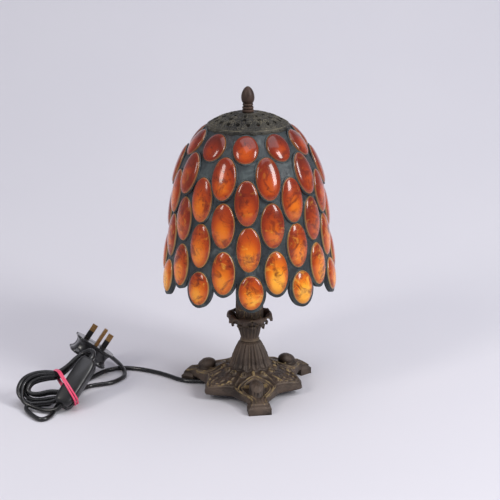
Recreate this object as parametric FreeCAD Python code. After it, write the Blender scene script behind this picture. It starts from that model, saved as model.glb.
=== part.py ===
"""Mosaic glass table lamp: a cast three-footed base, a stem, a domed shade of oval glass
cabochons set in a dark matrix, a finial, and a flex with an in-line switch and a plug.

Millimetres, +Z up, origin on the floor under the lamp's axis. The front of the lamp is -Y.
"""
import math
import os

import FreeCAD
import Part

V = FreeCAD.Vector
UP = V(0, 0, 1)
ORIGIN = V(0, 0, 0)

# ---- driving dimensions -----------------------------------------------------------------
TOTAL_HEIGHT = 350.0
BASE_TURN = 7.7                      # the base's turn about the axis, seen from above
LOBE_ANGLES = [BASE_TURN - 90 + 120 * k for k in range(3)]
FOOT_R, FOOT_HALF_WIDTH, FOOT_HEIGHT = 81.5, 12.7, 10.0
WING_R, RIM_Z = 63.0, 7.7
BASE_WALL = 3.6
NECK_Z, NECK_R = 58.5, 9.1
# outer slope of the casting from its neck to its edge: (radius, height)
BASE_SLOPE = [(9.1, 58.5), (12.0, 56.0), (15.8, 48.0), (18.6, 41.0), (20.3, 34.0), (23.0, 29.0),
              (30.0, 24.8), (45.0, 19.0), (60.0, 15.0), (72.0, 12.5), (90.0, 8.5)]
# hollow below it: (radius, height)
BASE_HOLLOW = [(0.0, 50.0), (11.5, 50.0), (13.2, 45.0), (15.4, 38.4), (17.1, 31.0), (20.0, 25.2),
               (30.0, 20.9), (45.0, 15.4), (60.0, 11.4), (72.0, 8.9), (90.0, 4.9)]

PIPE_R, PIPE_BORE_R = 5.0, 3.6
PIPE_Z = (40.0, 164.0)
FIT = 0.15                           # radial clearance of clamped parts on the pipe
CUP_TOP_Z, COLUMN_R, COLUMN_WALL = 80.0, 14.9, 1.5
COLUMN_Z = (80.2, 150.0)
LEAF_COUNT, LEAF_TIP_R, LEAF_TOP_Z, LEAF_TIP_Z = 8, 25.5, 91.0, 82.5

CAP_RIM_R, CAP_RIM_Z, CAP_TOP_Z, CAP_SHEET = 45.5, 308.0, 322.0, 1.6
STUD_R, STUD_RUN = 3.0, 0.06         # threaded stud and its running clearance
MATRIX_WALL = 4.0
STONE_PROUD, STONE_GAP = 4.5, 0.12
STONES_PER_ROW = 10
ROW_TWIST, ROW_START = 0.62, -0.8
# one tuple per row from the top: radius and height of the oval's centre on the wall's outer face,
# lean of the face, width, length
ROWS = [(57.4, 292.4, 38.0, 27.0, 33.0), (74.8, 264.6, 22.0, 26.5, 46.0),
        (80.8, 240.6, 12.0, 26.0, 48.0), (84.3, 216.2, 8.5, 26.0, 48.0),
        (87.4, 192.0, 8.0, 26.0, 48.0), (91.0, 166.1, 8.5, 26.0, 46.5),
        (94.2, 146.5, 9.0, 26.5, 36.5)]
SCALLOP_TOP_Z, SCALLOP_EDGE = 156.0, 3.0
BODY_TOP = (43.8, 306.8)             # upper end of the matrix's outer face
BODY_FOOT = (97.6, 124.0)            # lower end before the scallops are cut

HARP_R, HARP_WIRE_R, HARP_Z = 38.0, 1.6, (156.0, 310.0)
SADDLE_Z = 153.0
HOLDER_Z = (155.2, 196.0)
BULB_R, BULB_TOP_Z = 17.5, 276.0

FLEX_R = 2.5
FLEX_Z = FLEX_R + 0.05               # centre line of flex lying on the floor
CLAMP_ANGLE, CLAMP_Z, CLAMP_R = 170.0, 6.0, (31.0, 41.0)

# ---- the lead, the hank, the tail, the switch and the plug ---------------------------------
# route of the lead from the clamp to the hank, chosen by hand
LEAD = [V(-40.4, 7.1, 6.0), V(-57.5, 9.4, 2.8), V(-79.0, 12.8, FLEX_Z),
        V(-100.6, 33.5, FLEX_Z), V(-129.0, 50.0, FLEX_Z), V(-155.0, 55.4, FLEX_Z),
        V(-172.5, 46.0, FLEX_Z), V(-184.5, 28.0, FLEX_Z), V(-196.5, 8.0, FLEX_Z),
        V(-208.0, -13.0, FLEX_Z), V(-216.0, -31.0, FLEX_Z), V(-224.0, -45.4, FLEX_Z)]
# the hank lies in a plane that leans back: a point on its lower edge, then its two directions
HANK_ORIGIN, HANK_ALONG, HANK_FACE = V(-248.0, -57.0, 2.5), V(0.995, 0.102, 0.0), V(0.073, -0.714, 0.697)
HANK_HALF_THICK = 6.5
# outline of the tied turns in that plane: (along, up the slope)
HANK_OUTLINE = [(-13.0, 10.0), (-13.6, 19.0), (-10.0, 29.0), (-2.0, 35.5), (11.0, 41.5), (24.0, 41.5),
                (31.0, 37.5), (38.0, 41.0), (43.5, 46.5), (60.0, 61.5), (68.0, 64.0), (75.0, 61.5), (78.0, 54.0),
                (73.0, 44.0), (62.0, 26.0), (50.0, 10.0), (38.0, 3.0), (24.0, -1.2), (2.5, -1.8), (-7.0, 2.0)]
# the loose turn that lies on the floor in front of the hank, seen from above
LOOSE_TURN = [(-253, -56), (-241, -83), (-229, -93), (-217, -83), (-211, -50), (-228, -44)]
SWITCH_SIZE = (62.0, 21.0, 16.0)     # length, width, thickness
SWITCH_GAP, SWITCH_TURN, SWITCH_AT = 3.0, 58.0, (54.2, 19.3)
ROCKER_TILT = 8.0
BAND_AT, BAND_TURN, BAND_WIDTH, BAND_THICK = (43.0, 17.0), 28.0, 4.0, 1.1
# the band's corners across the hank: low behind it, top, top and low in front of the switch
BAND_BACK_LOW, BAND_TOP, BAND_FRONT_TOP, BAND_FRONT_LOW = -11.5, 25.3, 14.0, -23.6
PLUG_CENTRE = V(-182.1, 44.4, 37.3)  # middle of the pin pattern on the pin face
PLUG_PIN_AXIS = V(0.559, 0.244, 0.792)
PLUG_ROW_AXIS = V(0.8115, 0.0014, -0.573)
PLUG_HALF_WIDTH, PLUG_DEPTH, PLUG_NEAR, PLUG_FAR = 25.0, 20.0, 19.0, 19.0
PIN_PITCH, EARTH_RISE = 22.2, 22.2
LIVE_PIN, EARTH_PIN, SLEEVE_LENGTH = (6.35, 4.0, 17.7), (4.0, 7.9, 22.7), 9.0
RELIEF_LENGTH = 6.0

parts = {}


# ---- small helpers -----------------------------------------------------------------------
def cylinder(radius, z_low, z_high, at=(0.0, 0.0)):
    """Upright cylinder between two heights."""
    return Part.makeCylinder(radius, z_high - z_low, V(at[0], at[1], z_low))


def ring(outer, inner, z_low, z_high):
    """Upright tube between two heights."""
    return cylinder(outer, z_low, z_high).cut(cylinder(inner, z_low - 1, z_high + 1))


def lathe(points):
    """Solid turned about the lamp's axis from a closed (radius, height) outline."""
    corners = [V(r, 0, z) for r, z in points]
    face = Part.Face(Part.makePolygon(corners + [corners[0]]))
    return face.revolve(ORIGIN, UP, 360)


def turned(shape, angle, centre=ORIGIN, axis=UP):
    """Copy of a shape turned about an axis."""
    copy = shape.copy()
    copy.rotate(centre, axis, angle)
    return copy


def around(shape, count, start=0.0):
    """Copies of a shape spaced evenly about the lamp's axis."""
    return [turned(shape, start + 360.0 * k / count) for k in range(count)]


def local_box(sizes, centre, axes):
    """Box with full sizes along three perpendicular axes about its centre."""
    along, across, depth = axes
    box = Part.makeBox(sizes[0], sizes[1], sizes[2], V(-sizes[0] / 2, -sizes[1] / 2, -sizes[2] / 2))
    turn = FreeCAD.Matrix(along.x, across.x, depth.x, centre.x,
                          along.y, across.y, depth.y, centre.y,
                          along.z, across.z, depth.z, centre.z, 0, 0, 0, 1)
    box.transformShape(turn)
    return box


def tube_along(route, radius, name, corner_radii=None):
    """Round tube along straight runs joined by tangent arcs; prints the arc radii."""
    edges, start, radii = [], route[0], []
    for k in range(1, len(route) - 1):
        before, here, after = route[k - 1], route[k], route[k + 1]
        into, out = (here - before).normalize(), (after - here).normalize()
        turn = into.getAngle(out)
        shorter = min((here - before).Length, (after - here).Length)
        bend = 0.45 * shorter / math.tan(turn / 2)
        if corner_radii and k in corner_radii:
            bend = corner_radii[k]
        radii.append(round(bend, 1))
        back = bend * math.tan(turn / 2)
        first, last = here - into * back, here + out * back
        inward = (out - into).normalize()
        reach = bend / math.cos(turn / 2) - bend
        edges.append(Part.LineSegment(start, first).toShape())
        edges.append(Part.Arc(first, here + inward * reach, last).toShape())
        start = last
    edges.append(Part.LineSegment(start, route[-1]).toShape())
    path = Part.Wire(edges)
    section = Part.Wire([Part.Circle(route[0], route[1] - route[0], radius).toShape()])
    tube = path.makePipeShell([section], True, False)
    expected = math.pi * radius ** 2 * path.Length
    print(name, "length %.1f" % path.Length, "radii", radii, "volume/expected %.4f" % (tube.Volume / expected))
    return tube


# ---- cast base ---------------------------------------------------------------------------
def base_outline(inset):
    """Plan of the casting: three lobes ending in feet with a pointed wing between each pair."""
    half = [(FOOT_R - 1.0 - inset, 0.0), (FOOT_R - 2.0 - inset, 10.5 - inset), (73.0, 8.6 - inset),
            (62.0, 13.0 - inset), (52.0, 20.5 - inset), (43.0, 26.0 - inset),
            (39.5, 33.0 - inset), (WING_R * 0.5 + 3.0 - inset, 50.0 - inset),
            ((WING_R - inset * 2.4) * 0.5, (WING_R - inset * 2.4) * math.sqrt(0.75))]
    mirrored = [(x, -y) for x, y in reversed(half[1:-1])]
    lobe = mirrored + half
    corners = []
    for angle in LOBE_ANGLES:
        cos, sin = math.cos(math.radians(angle)), math.sin(math.radians(angle))
        corners += [V(x * cos - y * sin, x * sin + y * cos, 0) for x, y in lobe]
    return Part.Face(Part.makePolygon(corners + [corners[0]]))


def base_casting():
    """Hollow casting with its feet, bosses, neck and the bridge that the pipe passes through."""
    outer = base_outline(0.0).extrude(V(0, 0, 60))
    outer.translate(V(0, 0, RIM_Z))
    slope = [(0.0, NECK_Z)] + BASE_SLOPE + [(90.0, 0.0), (0.0, 0.0)]
    shell = outer.common(lathe(slope))
    inner = base_outline(BASE_WALL).extrude(V(0, 0, 70))
    inner.translate(V(0, 0, -2))
    shell = shell.cut(inner.common(lathe(BASE_HOLLOW + [(90.0, -2.0), (0.0, -2.0)])))
    for angle in LOBE_ANGLES:
        foot = Part.makeBox(15.0, 2 * FOOT_HALF_WIDTH, FOOT_HEIGHT, V(FOOT_R - 15.0, -FOOT_HALF_WIDTH, 0))
        foot = foot.makeChamfer(3.0, [e for e in foot.Edges if abs(e.CenterOfMass.z - FOOT_HEIGHT) < 0.01])
        shell = shell.fuse(turned(foot, angle))
        pod = Part.makeSphere(1.0)
        stretch = FreeCAD.Matrix()
        stretch.scale(11.0, 8.6, 7.0)
        pod = pod.transformGeometry(stretch)
        pod.rotate(ORIGIN, V(0, 1, 0), 22)
        pod.translate(V(54.0, 0, 20.5))
        cap_half = Part.makeBox(40, 40, 40, V(34, -20, 14.0))
        shell = shell.fuse(turned(pod.common(cap_half), angle))
    shell = shell.cut(cylinder(PIPE_R + FIT, 45, 62))
    for side in (-1, 1):
        shell = shell.fuse(clamp_boss(side))
    for side in (-1, 1):
        shell = shell.cut(clamp_screw_hole(side))
    return shell


def clamp_point(radius, side_offset, height):
    """Point in the clamp's own frame: distance from the axis, sideways offset and height."""
    angle = math.radians(CLAMP_ANGLE)
    return V(radius * math.cos(angle) - side_offset * math.sin(angle),
             radius * math.sin(angle) + side_offset * math.cos(angle), height)


CLAMP_SIDE = 8.0
CLAMP_MID_R = (CLAMP_R[0] + CLAMP_R[1]) / 2


def clamp_boss(side):
    """Boss under the casting that takes one screw of the cord clamp."""
    foot = clamp_point(CLAMP_MID_R, side * CLAMP_SIDE, 8.6)
    return Part.makeCylinder(3.6, 12.0, foot)


def clamp_screw_hole(side):
    """Blind hole in a boss."""
    return Part.makeCylinder(1.45, 10.0, clamp_point(CLAMP_MID_R, side * CLAMP_SIDE, 8.0))


def cord_clamp():
    """Saddle strap that holds the flex up against the casting."""
    along = clamp_point(1, 0, 0).normalize()
    across = clamp_point(0, 1, 0).normalize()
    middle = clamp_point(CLAMP_MID_R, 0, 0)
    length = CLAMP_R[1] - CLAMP_R[0]
    ears = local_box((length, 24.0, 1.2), middle + V(0, 0, 7.9), (along, across, UP))
    hump = Part.makeCylinder(FLEX_R + 1.4, length, clamp_point(CLAMP_R[0], 0, CLAMP_Z), along)
    side = local_box((length, 2 * (FLEX_R + 1.4), 2.6), middle + V(0, 0, 7.2), (along, across, UP))
    below = local_box((length + 2, 30, 8.5), middle + V(0, 0, 4.25), (along, across, UP))
    strap = ears.fuse([hump.common(below), side])
    strap = strap.cut(local_box((length + 2, 2 * FLEX_R + 0.2, 6), middle + V(0, 0, CLAMP_Z + 3), (along, across, UP)))
    strap = strap.cut(Part.makeCylinder(FLEX_R + 0.1, length + 2, clamp_point(CLAMP_R[0] - 1, 0, CLAMP_Z), along))
    strap = strap.cut(local_box((length + 2, 30, 10), middle + V(0, 0, 13.5), (along, across, UP)))
    for hand in (-1, 1):
        strap = strap.cut(Part.makeCylinder(1.7, 6, clamp_point(CLAMP_MID_R, hand * CLAMP_SIDE, 5)))
    return strap


def clamp_screws():
    """Two pan-head screws of the cord clamp."""
    screws = []
    for side in (-1, 1):
        head = Part.makeCylinder(2.8, 1.9, clamp_point(CLAMP_MID_R, side * CLAMP_SIDE, 5.3))
        shank = Part.makeCylinder(1.4, 9.0, clamp_point(CLAMP_MID_R, side * CLAMP_SIDE, 7.0))
        screws.append(head.fuse(shank))
    return Part.makeCompound(screws)


parts["base_casting"] = base_casting()
parts["cord_clamp"] = cord_clamp()
parts["clamp_screws"] = clamp_screws()


# ---- stem --------------------------------------------------------------------------------
def leaf_cup():
    """Fluted cup with the ring of curling leaves that hides the foot of the column."""
    cup = lathe([(0, NECK_Z), (NECK_R, NECK_Z), (9.6, 60.0), (11.4, 66.5), (13.2, 76.0),
                 (16.2, 76.6), (16.6, CUP_TOP_Z), (0, CUP_TOP_Z)])
    for angle in range(0, 360, 20):
        flute = Part.makeCone(0.7, 1.4, 14.5, V(10.2, 0, 61.0), V(0.2, 0, 1))
        cup = cup.cut(turned(flute, angle))
    leaf_side = [V(14.5, 0, 78.0), V(16.4, 0, 77.0), V(19.5, 0, 86.5), V(22.5, 0, 88.5), V(LEAF_TIP_R, 0, LEAF_TIP_Z),
                 V(LEAF_TIP_R - 0.4, 0, 88.5), V(21.5, 0, LEAF_TOP_Z), V(17.0, 0, 90.0)]
    blade = Part.Face(Part.makePolygon(leaf_side + [leaf_side[0]])).extrude(V(0, 9.0, 0))
    blade.translate(V(0, -4.5, 0))
    blade = blade.cut(cylinder(COLUMN_R + 0.3, 79.9, 100))
    cup = cup.fuse(around(blade, LEAF_COUNT, LOBE_ANGLES[0] + 22.5))
    small_side = [V(15.5, 0, 80.0), V(20.0, 0, 81.5), V(19.0, 0, 75.2), V(15.5, 0, 76.8)]
    small = Part.Face(Part.makePolygon(small_side + [small_side[0]])).extrude(V(0, 5.0, 0))
    small.translate(V(0, -2.5, 0))
    cup = cup.fuse(around(small, LEAF_COUNT, LOBE_ANGLES[0]))
    cup = cup.cut(cylinder(PIPE_R + FIT, 50, 90))
    return cup.cut(cylinder(COLUMN_R - COLUMN_WALL - 3.0, 66, 90).common(lathe(
        [(0, 66), (8.5, 66), (10.4, 81), (0, 81)])))


def column():
    """Cast sleeve with two raised bands."""
    sleeve = ring(COLUMN_R, COLUMN_R - COLUMN_WALL, *COLUMN_Z)
    for z in (97.0, 146.0):
        sleeve = sleeve.fuse(ring(COLUMN_R + 0.5, COLUMN_R - 0.5, z, z + 2.0))
    return sleeve


def hex_nut(across_flats, z_low, z_high, bore):
    """Plain hexagon nut about the lamp's axis."""
    corner = across_flats / math.sqrt(3)
    points = [V(corner * math.cos(math.radians(60 * k)), corner * math.sin(math.radians(60 * k)), z_low) for k in range(6)]
    body = Part.Face(Part.makePolygon(points + [points[0]])).extrude(V(0, 0, z_high - z_low))
    return body.cut(cylinder(bore, z_low - 1, z_high + 1))


parts["leaf_cup"] = leaf_cup()
parts["column"] = column()
parts["column_cap"] = ring(COLUMN_R + 0.9, PIPE_R + FIT, 150.0, 152.2).fuse(
    ring(COLUMN_R - COLUMN_WALL - 0.2, PIPE_R + FIT, 146.0, 150.1))
parts["threaded_pipe"] = ring(PIPE_R, PIPE_BORE_R, *PIPE_Z)
parts["base_washer"] = ring(9.0, PIPE_R + FIT, 48.6, 50.0)
parts["base_nut"] = hex_nut(14.0, 43.6, 48.6, PIPE_R)


# ---- lampholder, bulb and harp -----------------------------------------------------------
def harp_saddle():
    """Flat bar with two upright ears that carry the harp."""
    bar = Part.makeBox(2 * HARP_R + 8, 12, 1.6, V(-HARP_R - 4, -6, SADDLE_Z - 0.8))
    bar = bar.fuse(cylinder(9.5, SADDLE_Z - 0.8, SADDLE_Z + 0.8))
    for side in (-1, 1):
        bar = bar.fuse(cylinder(2.0, SADDLE_Z, SADDLE_Z + 9.0, (side * HARP_R, 0)))
        bar = bar.cut(cylinder(HARP_WIRE_R, HARP_Z[0], SADDLE_Z + 10, (side * HARP_R, 0)))
    return bar.cut(cylinder(PIPE_R + FIT, 150, 156))


def harp_wire(side):
    """One half of the wire hoop, from its ear to the stud at the top."""
    route = [V(side * HARP_R, 0, HARP_Z[0]), V(side * HARP_R, 0, 255), V(side * (HARP_R - 7), 0, 296),
             V(side * (HARP_R - 21), 0, HARP_Z[1]), V(side * 5.0, 0, HARP_Z[1])]
    return tube_along(route, HARP_WIRE_R, "harp_wire", {1: 52.0, 2: 26.0, 3: 10.0})


def harp_stud():
    """Turned seat that joins the hoop's halves and carries the shade on a threaded stud."""
    seat = cylinder(6.5, HARP_Z[1] - 3.2, HARP_Z[1] + 3.2).fuse(cylinder(9.0, HARP_Z[1] + 3.0, 319.0))
    seat = seat.fuse(cylinder(STUD_R, 318.0, 336.0))
    for side in (-1, 1):
        socket = Part.makeCylinder(HARP_WIRE_R, 3.0, V(side * 4.0, 0, HARP_Z[1]), V(side, 0, 0))
        seat = seat.cut(socket)
    return seat


parts["harp_saddle"] = harp_saddle()
parts["harp_wires"] = Part.makeCompound([harp_wire(-1), harp_wire(1)])
parts["harp_ferrules"] = Part.makeCompound(
    [cylinder(3.2, 158.0, 172.0, (side * HARP_R, 0)).cut(cylinder(2.05, 157.0, 162.1, (side * HARP_R, 0)))
     .cut(cylinder(HARP_WIRE_R + 0.02, 157.0, 173.0, (side * HARP_R, 0))) for side in (-1, 1)])
parts["harp_stud"] = harp_stud()
parts["holder_nut"] = hex_nut(14.0, SADDLE_Z + 0.8, SADDLE_Z + 3.4, PIPE_R)

HOLDER_BASE_Z, HOLDER_MID_Z = 156.6, 172.0
parts["lampholder_base"] = lathe([(PIPE_R, HOLDER_BASE_Z), (9.0, HOLDER_BASE_Z), (12.0, 161.0), (12.0, HOLDER_MID_Z),
                                  (9.4, HOLDER_MID_Z), (9.4, 166.0), (PIPE_R, 166.0)])
parts["lampholder_body"] = lathe([(8.0, HOLDER_MID_Z + 0.1), (12.0, HOLDER_MID_Z + 0.1), (12.0, 174.0), (11.0, 176.0),
                                  (11.0, HOLDER_Z[1]), (8.0, HOLDER_Z[1])])
parts["lampholder_insert"] = cylinder(7.9, 168.0, 173.0).cut(cylinder(1.2, 167.0, 174.0, (0.0, 4.0))).cut(
    cylinder(1.2, 167.0, 174.0, (0.0, -4.0)))
parts["contact_shell"] = ring(7.85, 7.2, 175.0, 190.0)
parts["contact_tongue"] = Part.makeBox(3.0, 6.0, 0.5, V(-1.5, -3.0, 173.1)).fuse(
    Part.makeBox(3.0, 0.5, 2.4, V(-1.5, 2.5, 173.1))).fuse(Part.makeBox(3.0, 4.0, 0.5, V(-1.5, -1.0, 175.0)))
parts["bulb_cap"] = ring(6.9, 6.2, 178.0, 198.0).fuse(lathe([(0, 176.0), (3.0, 176.0), (6.9, 178.2), (0, 178.2)]))


def bulb_glass():
    """Candle-shaped envelope with an even wall."""
    def outline(inset):
        arc = [(6.1 - inset, 190.0), (6.1 - inset, 199.0)]
        for k in range(13):
            t = math.pi * k / 12
            radius = BULB_R * math.sin(t) ** 0.85 if 0 < k < 12 else 0
            height = 238.0 - 38.0 * math.cos(t)
            if 1 < k < 12:
                arc.append((max(radius - inset, 0.5), height + (inset if k < 6 else -inset) * 0.6))
        arc.append((0, BULB_TOP_Z - inset))
        return arc
    outer = lathe([(0, 190.0)] + outline(0.0))
    inner = lathe([(0, 191.0)] + [(r, z + (1.0 if z < 191 else 0)) for r, z in outline(0.9)])
    return outer.cut(inner)


def bulb_filament():
    """Glass stem with two lead wires and the filament bar."""
    stem = lathe([(0, 192.0), (3.4, 192.0), (1.6, 212.0), (0, 212.0)])
    bar = Part.makeCylinder(0.5, 16.0, V(-8, 0, 234.0), V(1, 0, 0))
    for side in (-1, 1):
        wire = Part.makeCylinder(0.4, 25.8, V(side * 1.0, 0, 209.0), V(side * 0.26, 0, 1))
        stem = stem.fuse(wire)
    return stem.fuse(bar)


parts["bulb_glass"] = bulb_glass()
parts["bulb_filament"] = bulb_filament()


# ---- shade -------------------------------------------------------------------------------
def row_frame(row):
    """Centre, outward normal and upward tangent of a row's stone at angle zero (towards -Y)."""
    radius, height, lean = ROWS[row][:3]
    tilt = math.radians(lean)
    centre = V(0, -radius, height)
    normal = V(0, -math.cos(tilt), math.sin(tilt))
    tangent = V(0, math.sin(tilt), math.cos(tilt))
    return centre, normal, tangent


def row_angles(row):
    """Angles of a row's stones; even rows are shifted by half a step."""
    shift = 0.5 * (row % 2)
    step = 360.0 / STONES_PER_ROW
    return [ROW_START + ROW_TWIST * (row - 3) + step * (k + shift) for k in range(STONES_PER_ROW)]


def oval_prism(row, grow, depth_from, depth_to):
    """Oval prism along a stone's normal, between two depths below the wall's outer face."""
    centre, normal, tangent = row_frame(row)
    width, length = ROWS[row][3:]
    start = centre - normal * depth_from
    oval = Part.Ellipse(start + tangent * (length / 2 + grow), start + V(width / 2 + grow, 0, 0), start)
    face = Part.Face(Part.Wire([oval.toShape()]))
    return face.extrude(normal * (depth_from - depth_to))


def stone(row):
    """Oval cabochon, domed outside, with a straight girdle and a flat back inside."""
    centre, normal, _ = row_frame(row)
    width, length = ROWS[row][3:]
    back = -MATRIX_WALL / STONE_PROUD
    side = [V(0, 0, 1), V(0, 0, back), V(1, 0, back), V(1, 0, 0)]
    edges = [Part.LineSegment(a, b).toShape() for a, b in zip(side, side[1:])]
    edges.append(Part.Arc(side[3], V(math.sqrt(0.5), 0, math.sqrt(0.5)), side[0]).toShape())
    button = Part.Face(Part.Wire(edges)).revolve(ORIGIN, UP, 360)
    stretch = FreeCAD.Matrix()
    stretch.scale(width / 2, length / 2, STONE_PROUD)
    button = button.transformGeometry(stretch)
    button.rotate(ORIGIN, V(1, 0, 0), math.degrees(math.atan2(-normal.y, normal.z)))
    button.translate(centre)
    return button


def matrix_outline():
    """Outer meridian of the matrix from top to bottom as (radius, height)."""
    return [BODY_TOP] + [row[:2] for row in ROWS] + [BODY_FOOT]


def shade_matrix():
    """Domed wall with an oval hole for every stone and a scalloped lower edge."""
    outer = Part.BSplineCurve()
    outer.interpolate([V(r, 0, z) for r, z in matrix_outline()])
    inner_points = []
    for k, (r, z) in enumerate(matrix_outline()):
        lean = ([ROWS[0][2] + 6] + [row[2] for row in ROWS] + [10.0])[k]
        tilt = math.radians(lean)
        inner_points.append(V(r - MATRIX_WALL * math.cos(tilt), 0, z - MATRIX_WALL * math.sin(tilt)))
    inner = Part.BSplineCurve()
    inner.interpolate(inner_points)
    ends = [Part.LineSegment(outer.EndPoint, inner.EndPoint).toShape(),
            Part.LineSegment(inner.StartPoint, outer.StartPoint).toShape()]
    wire = Part.Wire([outer.toShape(), ends[0], inner.toShape().reversed(), ends[1]])
    wall = Part.Face(wire).revolve(ORIGIN, UP, 360)
    upper = wall.common(cylinder(140, SCALLOP_TOP_Z, 320))
    lower = wall.common(cylinder(140, 100, SCALLOP_TOP_Z))
    tabs = []
    for row in (5, 6):
        prism = oval_prism(row, SCALLOP_EDGE, 18, -8)
        tabs += [lower.common(turned(prism, angle)) for angle in row_angles(row)]
    wall = upper.fuse(tabs)
    holes = []
    for row in range(len(ROWS)):
        prism = oval_prism(row, STONE_GAP, 14, -8)
        holes += [turned(prism, angle) for angle in row_angles(row)]
    return wall.cut(holes)


def shade_cap():
    """Pierced dome with a scalloped rim."""
    rise = CAP_TOP_Z - CAP_RIM_Z
    ball_r = (CAP_RIM_R ** 2 + rise ** 2) / (2 * rise)
    ball_z = CAP_TOP_Z - ball_r
    dome = Part.makeSphere(ball_r, V(0, 0, ball_z)).cut(Part.makeSphere(ball_r - CAP_SHEET, V(0, 0, ball_z)))
    dome = dome.common(cylinder(CAP_RIM_R + 2, CAP_RIM_Z - 0.6, CAP_TOP_Z + 5))
    dome = dome.fuse(ring(11.0, STUD_R + STUD_RUN, 319.1, 321.6))
    cuts = [cylinder(STUD_R + STUD_RUN, 300, 330)]
    for radius, size, count in ((18.0, 1.7, 10), (26.5, 2.2, 10), (35.0, 2.0, 20)):
        hole = cylinder(size, 295, 330, (radius, 0))
        cuts += around(hole, count, 9.0 if count == 10 else 0.0)
    bite = cylinder(3.0, 300, 330, (CAP_RIM_R + 1.6, 0))
    cuts += around(bite, 24)
    return dome.cut(cuts)


for row_index in range(len(ROWS)):
    template = stone(row_index)
    parts["stone_row_%d" % (row_index + 1)] = Part.makeCompound(
        [turned(template, angle) for angle in row_angles(row_index)])
parts["shade_matrix"] = shade_matrix()
parts["shade_cap"] = shade_cap()
parts["finial"] = lathe([(STUD_R + STUD_RUN, 322.2), (6.3, 322.2), (6.3, 324.6), (5.2, 325.2), (6.0, 325.8), (6.0, 328.0),
                         (4.6, 328.8), (5.2, 329.6), (5.2, 331.2), (6.4, 333.0), (7.25, 337.5), (6.9, 341.0),
                         (5.4, 345.0), (3.0, 348.2), (0.8, TOTAL_HEIGHT), (0, TOTAL_HEIGHT),
                         (0, 337.0), (STUD_R + STUD_RUN, 337.0)])

# ---- flex inside the lamp ----------------------------------------------------------------
ramp = [V(0, 0, 165.8), V(0, 0, 36.0)] + [clamp_point(r, 0, z) for r, z in ((6.0, 17.0), (21.0, CLAMP_Z),
                                                                         (CLAMP_R[1], CLAMP_Z))]
parts["inner_flex"] = tube_along(ramp, FLEX_R, "inner_flex")

# ---- lead, hank and tail -----------------------------------------------------------------
hank_along = V(HANK_ALONG).normalize()
hank_face = (HANK_FACE - hank_along * hank_along.dot(HANK_FACE)).normalize()
hank_up = hank_face.cross(hank_along)


def hank_point(along, up, front):
    """Point in the hank's own frame; front is its thickness, towards the switch."""
    return HANK_ORIGIN + hank_along * along + hank_up * up + hank_face * front


def hank():
    """Outer shape of the tied turns, with the loose turn that lies on the floor."""
    points = [hank_point(a, u, -HANK_HALF_THICK) for a, u in HANK_OUTLINE]
    body = Part.Face(Part.makePolygon(points + [points[0]])).extrude(hank_face * (2 * HANK_HALF_THICK))
    corners = [V(x, y, 0.05) for x, y in LOOSE_TURN]
    pad = Part.Face(Part.makePolygon(corners + [corners[0]])).extrude(V(0, 0, 2 * FLEX_R + 0.1))
    return body.fuse(pad).cut(Part.makeBox(200, 200, 20, V(-320, -140, -19.95)))


parts["cord_lead"] = tube_along(LEAD, FLEX_R, "cord_lead")
parts["cord_hank"] = hank()

# ---- in-line switch ----------------------------------------------------------------------
switch_turn = math.radians(SWITCH_TURN)
switch_along = hank_along * math.cos(switch_turn) + hank_up * math.sin(switch_turn)
switch_across = hank_along * math.sin(switch_turn) - hank_up * math.cos(switch_turn)
switch_back = hank_face * -1
SWITCH_CENTRE = hank_point(SWITCH_AT[0], SWITCH_AT[1], HANK_HALF_THICK + SWITCH_GAP + SWITCH_SIZE[2] / 2)


def switch_point(along, across, back):
    """Point in the switch's own frame; back is towards the hank, where the rocker is."""
    return SWITCH_CENTRE + switch_along * along + switch_across * across + switch_back * back


def switch_box(sizes, at):
    """Box in the switch's own frame."""
    return local_box(sizes, switch_point(*at), (switch_along, switch_across, switch_back))


def switch_shell(low, high):
    """One half of the case between two depths, with rounded ends and a hollow."""
    length, width, _ = SWITCH_SIZE
    depth = high - low
    body = switch_box((length - width * 0.7, width, depth), (0, 0, (low + high) / 2))
    body = body.fuse(switch_box((length, width * 0.62, depth), (0, 0, (low + high) / 2)))
    for end in (-1, 1):
        for side in (-1, 1):
            corner = Part.makeCylinder(width * 0.35, depth, switch_point(end * (length / 2 - width * 0.35),
                                       side * width * 0.15, low), switch_back)
            body = body.fuse(corner)
    body = body.removeSplitter()
    for end in (-1, 1):
        body = body.cut(Part.makeCylinder(FLEX_R + 0.2, 14.0, switch_point(end * (length / 2 - 12), 0, 0),
                                          switch_along * end))
    return body


half_thick = SWITCH_SIZE[2] / 2
front_half = switch_shell(-half_thick, 0.0)
front_half = front_half.cut(switch_box((38, SWITCH_SIZE[1] - 5, 6.0), (0, 0, -3.0)))
back_half = switch_shell(0.05, half_thick)
back_half = back_half.cut(switch_box((38, SWITCH_SIZE[1] - 5, 5.6), (0, 0, 2.8)))
back_half = back_half.cut(switch_box((17.0, 10.0, 12), (0, 0, half_thick)))
screw_hole = Part.makeCylinder(1.3, 30, switch_point(-22.5, 6.2, -6.0), switch_back)
head_hole = Part.makeCylinder(2.6, 6, switch_point(-22.5, 6.2, half_thick - 2.5), switch_back)
second_shift = switch_along * 45.0 - switch_across * 12.4
for shift in (V(0, 0, 0), second_shift):
    for tool in (screw_hole, head_hole):
        moved = tool.copy()
        moved.translate(shift)
        back_half = back_half.cut(moved)
        if tool is screw_hole:
            front_half = front_half.cut(moved)
parts["switch_front_half"] = front_half
parts["switch_back_half"] = back_half


def case_screw(shift):
    """Countersunk screw that holds the two halves of the switch together."""
    shank = Part.makeCylinder(1.25, 11.5, switch_point(-22.5, 6.2, -5.5) + shift, switch_back)
    head = Part.makeCylinder(2.4, 1.8, switch_point(-22.5, 6.2, half_thick - 2.5) + shift, switch_back)
    return shank.fuse(head)


parts["switch_screws"] = Part.makeCompound([case_screw(V(0, 0, 0)), case_screw(second_shift)])

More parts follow.
